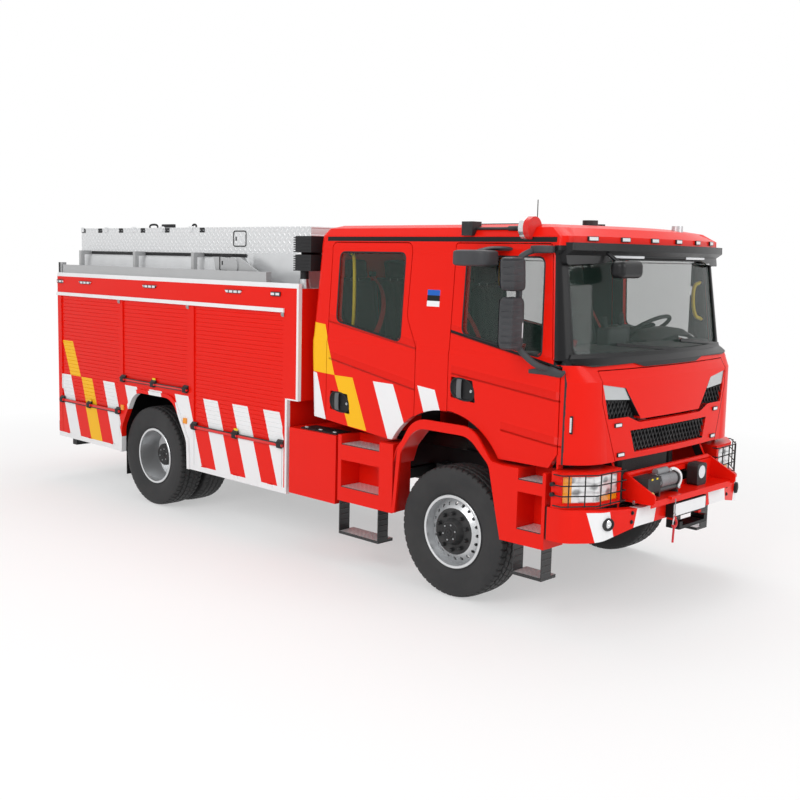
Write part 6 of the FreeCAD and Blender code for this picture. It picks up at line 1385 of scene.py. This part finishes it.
def makeHook():
    work = Weave()
    eye, wide = np.array(hook["eye"]), hook["thimble"]
    ring = [eye + (0, wide * math.cos(a), wide * math.sin(a) - hook["thimbleDown"])
            for a in np.linspace(0, 2 * np.pi, 20, endpoint=False)]
    work.rod(2, ring, 0.005, sides=8, closed=True, up=(1, 0, 0))
    shank, latch = ([eye + (0, y, z) for y, z in hook[key]] for key in ("shank", "latch"))
    work.rod(0, eased(shank), 0.0115, 0.0085, 12, up=(1, 0, 0))
    work.rod(2, eased(latch, 2), 0.005, 0.006, 8, up=(1, 0, 0))
    return work.make("winchHook", ["hookRed", "beltWebbing", "steelBolt"], "chassis")


# the corner lamps of the cab: a lit strip in a black bezel; each block's stand, size and round edge
cornerLamp = {"spot": (1.055, 1.5, 1.537),
              "blocks": ((0.001, (0.03, 0.01, 0.135), 0.0045), (0.005, (0.017, 0.008, 0.11), 0.0035))}


def makeCornerLamps():
    for side, sign in sides:
        spot = settle([np.array(cornerLamp["spot"]) * (1, sign, 1)], (0, -sign, 0), ["cab_shell"])[0]
        work = Weave()
        for slot, (out, size, round) in enumerate(cornerLamp["blocks"]):
            work.block(slot, spot + (0, sign * out, 0), size, round)
        work.make("cornerLamp_" + side, ["blackPlastic", "clearLens"], "cab")


# the cooler behind the winch: fins between two tanks, seen below the hatch
cooler = {"x": 0.985, "half": 0.36, "low": 0.80, "high": 1.27, "fins": 34, "fold": 0.006, "back": 0.02,
          "tank": (0.09, 0.07), "tankOut": 0.03, "bar": (0.07, 0.04)}


def makeCooler():
    work = Weave()
    x, half, low, high = (cooler[key] for key in ("x", "half", "low", "high"))
    ys = np.linspace(-half, half, cooler["fins"] * 6 + 1)
    fold = x + cooler["fold"] * np.abs(((ys / (2 * half) * cooler["fins"]) % 1) * 2 - 1)
    work.add([np.column_stack([fold, ys, np.full(len(ys), z)]) for z in np.linspace(low, high, 8)])
    back = x - cooler["back"]
    for side in (-1, 1):
        spot = (back, side * (half + cooler["tankOut"]), (low + high) / 2)
        work.block(1, spot, (*cooler["tank"], high - low + 0.05), 0.02)
    for z in (low, high):
        work.block(1, (back, 0, z), (cooler["bar"][0], 2 * half, cooler["bar"][1]), 0.012)
    work.make("coolerFins", ["castSteel", "chassisBlack"], "chassis")


# lines along the visor: from y, to y, points, height, width and thickness
visorLines = [(-0.32, -0.72, 9, 2.765, 0.004, 0.011), (0.32, 0.72, 9, 2.765, 0.004, 0.011),
              (-0.02, 0.86, 12, 2.72, 0.0025, 0.0035)]


def makeVisorLights():
    work = Weave()
    for start, end, count, z, wide, thick in visorLines:
        spots = [(1.46, y, z) for y in np.linspace(start, end, count)]
        work.rod(0, settle(spots, (-1, 0, 0), ["cab_trim", "cab_shell"]), wide, thick, 8, up=(0, 0, 1))
    work.make("visorLights", ["lampGlow"], "cab")


# the black cover over the locker between the body and the cab's steps
cover = {"rear": -1.835, "front": -1.36, "outer": 1.238, "inner": 1.05, "thick": 0.014, "above": 1.32,
         "catch": (0.035, 0.02, 0.008), "catchIn": 0.05, "catchSide": 0.03, "catchUp": 0.003,
         "nodes": ["front_wings", "body_lockers", "cab_steps", "body_sides", "body_deck_and_ends"]}


def makeCovers():
    rear, front = cover["rear"], cover["front"]
    for side, sign in sides:
        along, wide = np.linspace(rear, front, 16), np.linspace(cover["inner"], cover["outer"], 6) * sign
        xs, ys = np.meshgrid(along, wide, indexing="ij")
        grid = np.stack([xs, ys, np.full_like(xs, cover["above"])], -1)
        top = np.median(settle(grid.reshape(-1, 3), (0, 0, -1), cover["nodes"])[:, 2]) + cover["thick"]
        grid[..., 2] = top
        rim = np.concatenate([grid[0], grid[1:, -1], grid[-1, ::-1][1:], grid[::-1, 0][1:-1]])
        work = Weave().add(grid).add([rim, rim - (0, 0, cover["thick"])], (False, True))
        for x in (rear + cover["catchIn"], (rear + front) / 2, front - cover["catchIn"]):
            spot = (x, sign * (cover["outer"] - cover["catchSide"]), top + cover["catchUp"])
            work.block(1, spot, cover["catch"], 0.003, 2)
        work.make("lockerCover_" + side, ["blackPlastic", "whitePaint"], "chassis")


# the lid of the roof box: hinges by their share of its length, looped handles and a dark bar on it
lid = {"hinges": (0.02, 0.17, 0.35, 0.53, 0.72, 0.975), "hinge": (0.085, 0.012, 0.05), "hingeDown": 0.028,
       "pins": (-0.028, 0.028), "handles": ((0.40, 0.16, 0.05), (0.72, 0.07, 0.045)), "in": 0.36,
       "foot": (0.04, 0.05, 0.008), "bar": 0.52, "barUp": 0.03, "barSize": (0.24, 0.035, 0.045)}
# framed doors in the box's side, the dark slot under it, and the ribs and pale bar on the floodlights
roofBox = {"doorX": -3.12, "doorZ": (2.884, 2.64), "door": (0.1, 0.075), "catch": (-0.06, 0.0005),
           "slot": (-4.415, -0.998, 2.716), "slotSize": (2.93, 0.006, 0.034)}
floodlight = {"height": 0.315, "middle": 0.013, "shares": (0.1, 0.2, 0.3, 0.4, 0.6, 0.7, 0.8, 0.9),
              "rib": (0.17, 0.008, 0.007), "barX": 0.0825, "bar": (0.05, 0.008, 0.018)}


def makeLidFittings():
    low, high = boxOf("roof_box_lid")
    long = high[0] - low[0]
    work = Weave()
    for share in lid["hinges"]:
        x = low[0] + long * share
        work.block(0, (x, low[1] + 0.001, high[2] - lid["hingeDown"]), lid["hinge"], 0.004, 2)
        spots = [(x + shift, low[1] - 0.005, high[2] - 0.03) for shift in lid["pins"]]
        bolts(work, spots, (0, -1, 0), 0.007)
    y, z = low[1] + lid["in"], high[2]
    for share, length, rise in lid["handles"]:
        rear, front = (low[0] + long * share + end * length / 2 for end in (-1, 1))
        loop = [(rear, y, z), (rear, y, z + rise), (front, y, z + rise), (front, y, z)]
        work.rod(0, eased(loop, 2), 0.012, 0.009, 10, up=(0, 1, 0))
        for x in (rear, front):
            work.block(0, (x, y, z + 0.004), lid["foot"], 0.003, 2)
    work.block(0, (low[0] + long * lid["bar"], y, z + lid["barUp"]), lid["barSize"], 0.008)
    work.make("lidFittings", ["blackPlastic", "steelBolt"], "box_lid")


def makeBoxFrames():
    low, high = boxOf("roof_boxes")
    work = Weave()
    x = roofBox["doorX"]
    for z in roofBox["doorZ"]:
        nodes = ["roof_boxes", "roof_rack", "body_deck_and_ends"]
        skin = settle([(x, low[1] - 0.3, z)], (0, 1, 0), nodes)[0][1] - 0.002
        edge = rounded(fourCorners((x, skin, z), roofBox["door"], (0, 2)), 0.025, 4)
        work.rod(0, edge, 0.006, 0.004, 8, True, (0, 1, 0))
        across, out = roofBox["catch"]
        work.block(0, (x + across, skin + out, z), (0.016, 0.005, 0.04), 0.002, 2)
    work.block(0, roofBox["slot"], roofBox["slotSize"], 0.0025, 2)
    work.make("boxFrames", ["blackPlastic"], "chassis")


def makeFloodlights():
    low, high = boxOf("mast_head")
    tall, middle = floodlight["height"], (low[0] + high[0]) / 2 + floodlight["middle"]
    work = Weave()
    for share in floodlight["shares"]:
        work.block(0, (middle, low[1] + 0.001, high[2] - share * tall), floodlight["rib"], 0.003, 2)
    spot = (low[0] + floodlight["barX"], low[1] + 0.0005, high[2] - tall / 2)
    work.block(1, spot, floodlight["bar"], 0.0035, 2)
    work.make("floodlightRibs", ["blackPlastic", "whitePaint"], "mast_lamp_head")


def makeRopeEnd():
    thimble = makeHook()
    for name, tint, end, carried in (("winchRope", "ropeGrey", "fitting", [thimble]),
                                     ("pullStrap", "strapRed", "bare", [])):
        plan = ropes[name]
        plan["piece"].data.materials.append(finish[tint])


for stage in (makeTyres, makeHubs, makeHandles, makeSeals, makeRails, makeBelts, makeDashFittings,
              makeSeats, makeMirrors, makeShutterFittings, makeWinchFittings, makeBumperFittings,
              makeRopeEnd, makeCornerLamps, makeCooler, makeCovers, makeVisorLights, makeLidFittings,
              makeBoxFrames, makeFloodlights):
    stage()
    print(stage.__name__, "done")

# floor, backdrop and lamps; the floor glows in the distance and in mirrors, so that it meets the backdrop
studio = {"floor": 60.0, "paper": (0.9, 0.9, 0.9), "world": 0.52, "near": 4.5, "far": 9.0, "lift": 0.45,
          "mirrored": 0.8}
lamps = {"keyLamp": ((3, -14, 9), (0, 0, 1.4), 9, 950), "frontLamp": ((14, 2, 7), (2, 0, 1.4), 8, 600),
         "topLamp": ((-2, 3, 13), (0, 0, 1), 10, 700)}


def makeFloor():
    half = studio["floor"]
    corners = [(-half, -half, 0), (half, -half, 0), (half, half, 0), (-half, half, 0)]
    mesh = meshOf("floor", corners, [(0, 1, 2, 3)])
    f = Finish("floorPaper")
    f.set(color=studio["paper"], rough=0.9)
    rays = f.tree.nodes.new("ShaderNodeLightPath")
    straight, glossy, through = (Wire(f, rays.outputs["Is %s Ray" % kind])
                                 for kind in ("Camera", "Glossy", "Transmission"))
    far = (f.x * f.x + f.y * f.y).root().ramp(studio["near"], studio["far"])
    straight = straight * (far * (1 - studio["lift"]) + studio["lift"])
    share = (glossy.high(through) * studio["mirrored"]).high(straight)
    glow = f.tree.nodes.new("ShaderNodeEmission")
    glow.inputs[0].default_value = (1, 1, 1, 1)
    mixer = f.tree.nodes.new("ShaderNodeMixShader")
    f.link(mixer.inputs[0], share)
    f.tree.links.new(f.surface.outputs[0], mixer.inputs[1])
    f.tree.links.new(glow.outputs[0], mixer.inputs[2])
    f.tree.links.new(mixer.outputs[0], f.output.inputs[0])
    mesh.materials.append(f.material)
    linked("floor", mesh)


def makeWorld():
    world = bpy.data.worlds.new("world")
    world.use_nodes = True
    nodes, links = world.node_tree.nodes, world.node_tree.links
    nodes.clear()
    rays, mixer = nodes.new("ShaderNodeLightPath"), nodes.new("ShaderNodeMixShader")
    output = nodes.new("ShaderNodeOutputWorld")
    for index, strength in ((1, studio["world"]), (2, 1.0)):
        sky = nodes.new("ShaderNodeBackground")
        sky.inputs[0].default_value, sky.inputs[1].default_value = (1, 1, 1, 1), strength
        links.new(sky.outputs[0], mixer.inputs[index])
    first, second = nodes.new("ShaderNodeMath"), nodes.new("ShaderNodeMath")
    first.operation = second.operation = "MAXIMUM"
    links.new(rays.outputs["Is Camera Ray"], first.inputs[0])
    links.new(rays.outputs["Is Glossy Ray"], first.inputs[1])
    links.new(first.outputs[0], second.inputs[0])
    links.new(rays.outputs["Is Transmission Ray"], second.inputs[1])
    links.new(second.outputs[0], mixer.inputs[0])
    links.new(mixer.outputs[0], output.inputs[0])
    bpy.context.scene.world = world
    bpy.context.scene.view_settings.view_transform = "Standard"


def addLamp(name, spot, target, size, power):
    data = bpy.data.lights.new(name, "AREA")
    data.shape, data.size, data.energy = "SQUARE", size, power
    back = unit(np.subtract(spot, target))
    right = unit(np.cross((0, 0, 1), back))
    stand(linked(name, data), right, np.cross(back, right), back, spot)


makeFloor()
makeWorld()
for name, plan in lamps.items():
    addLamp(name, *plan)
print("stage set")

bpy.context.view_layer.update()
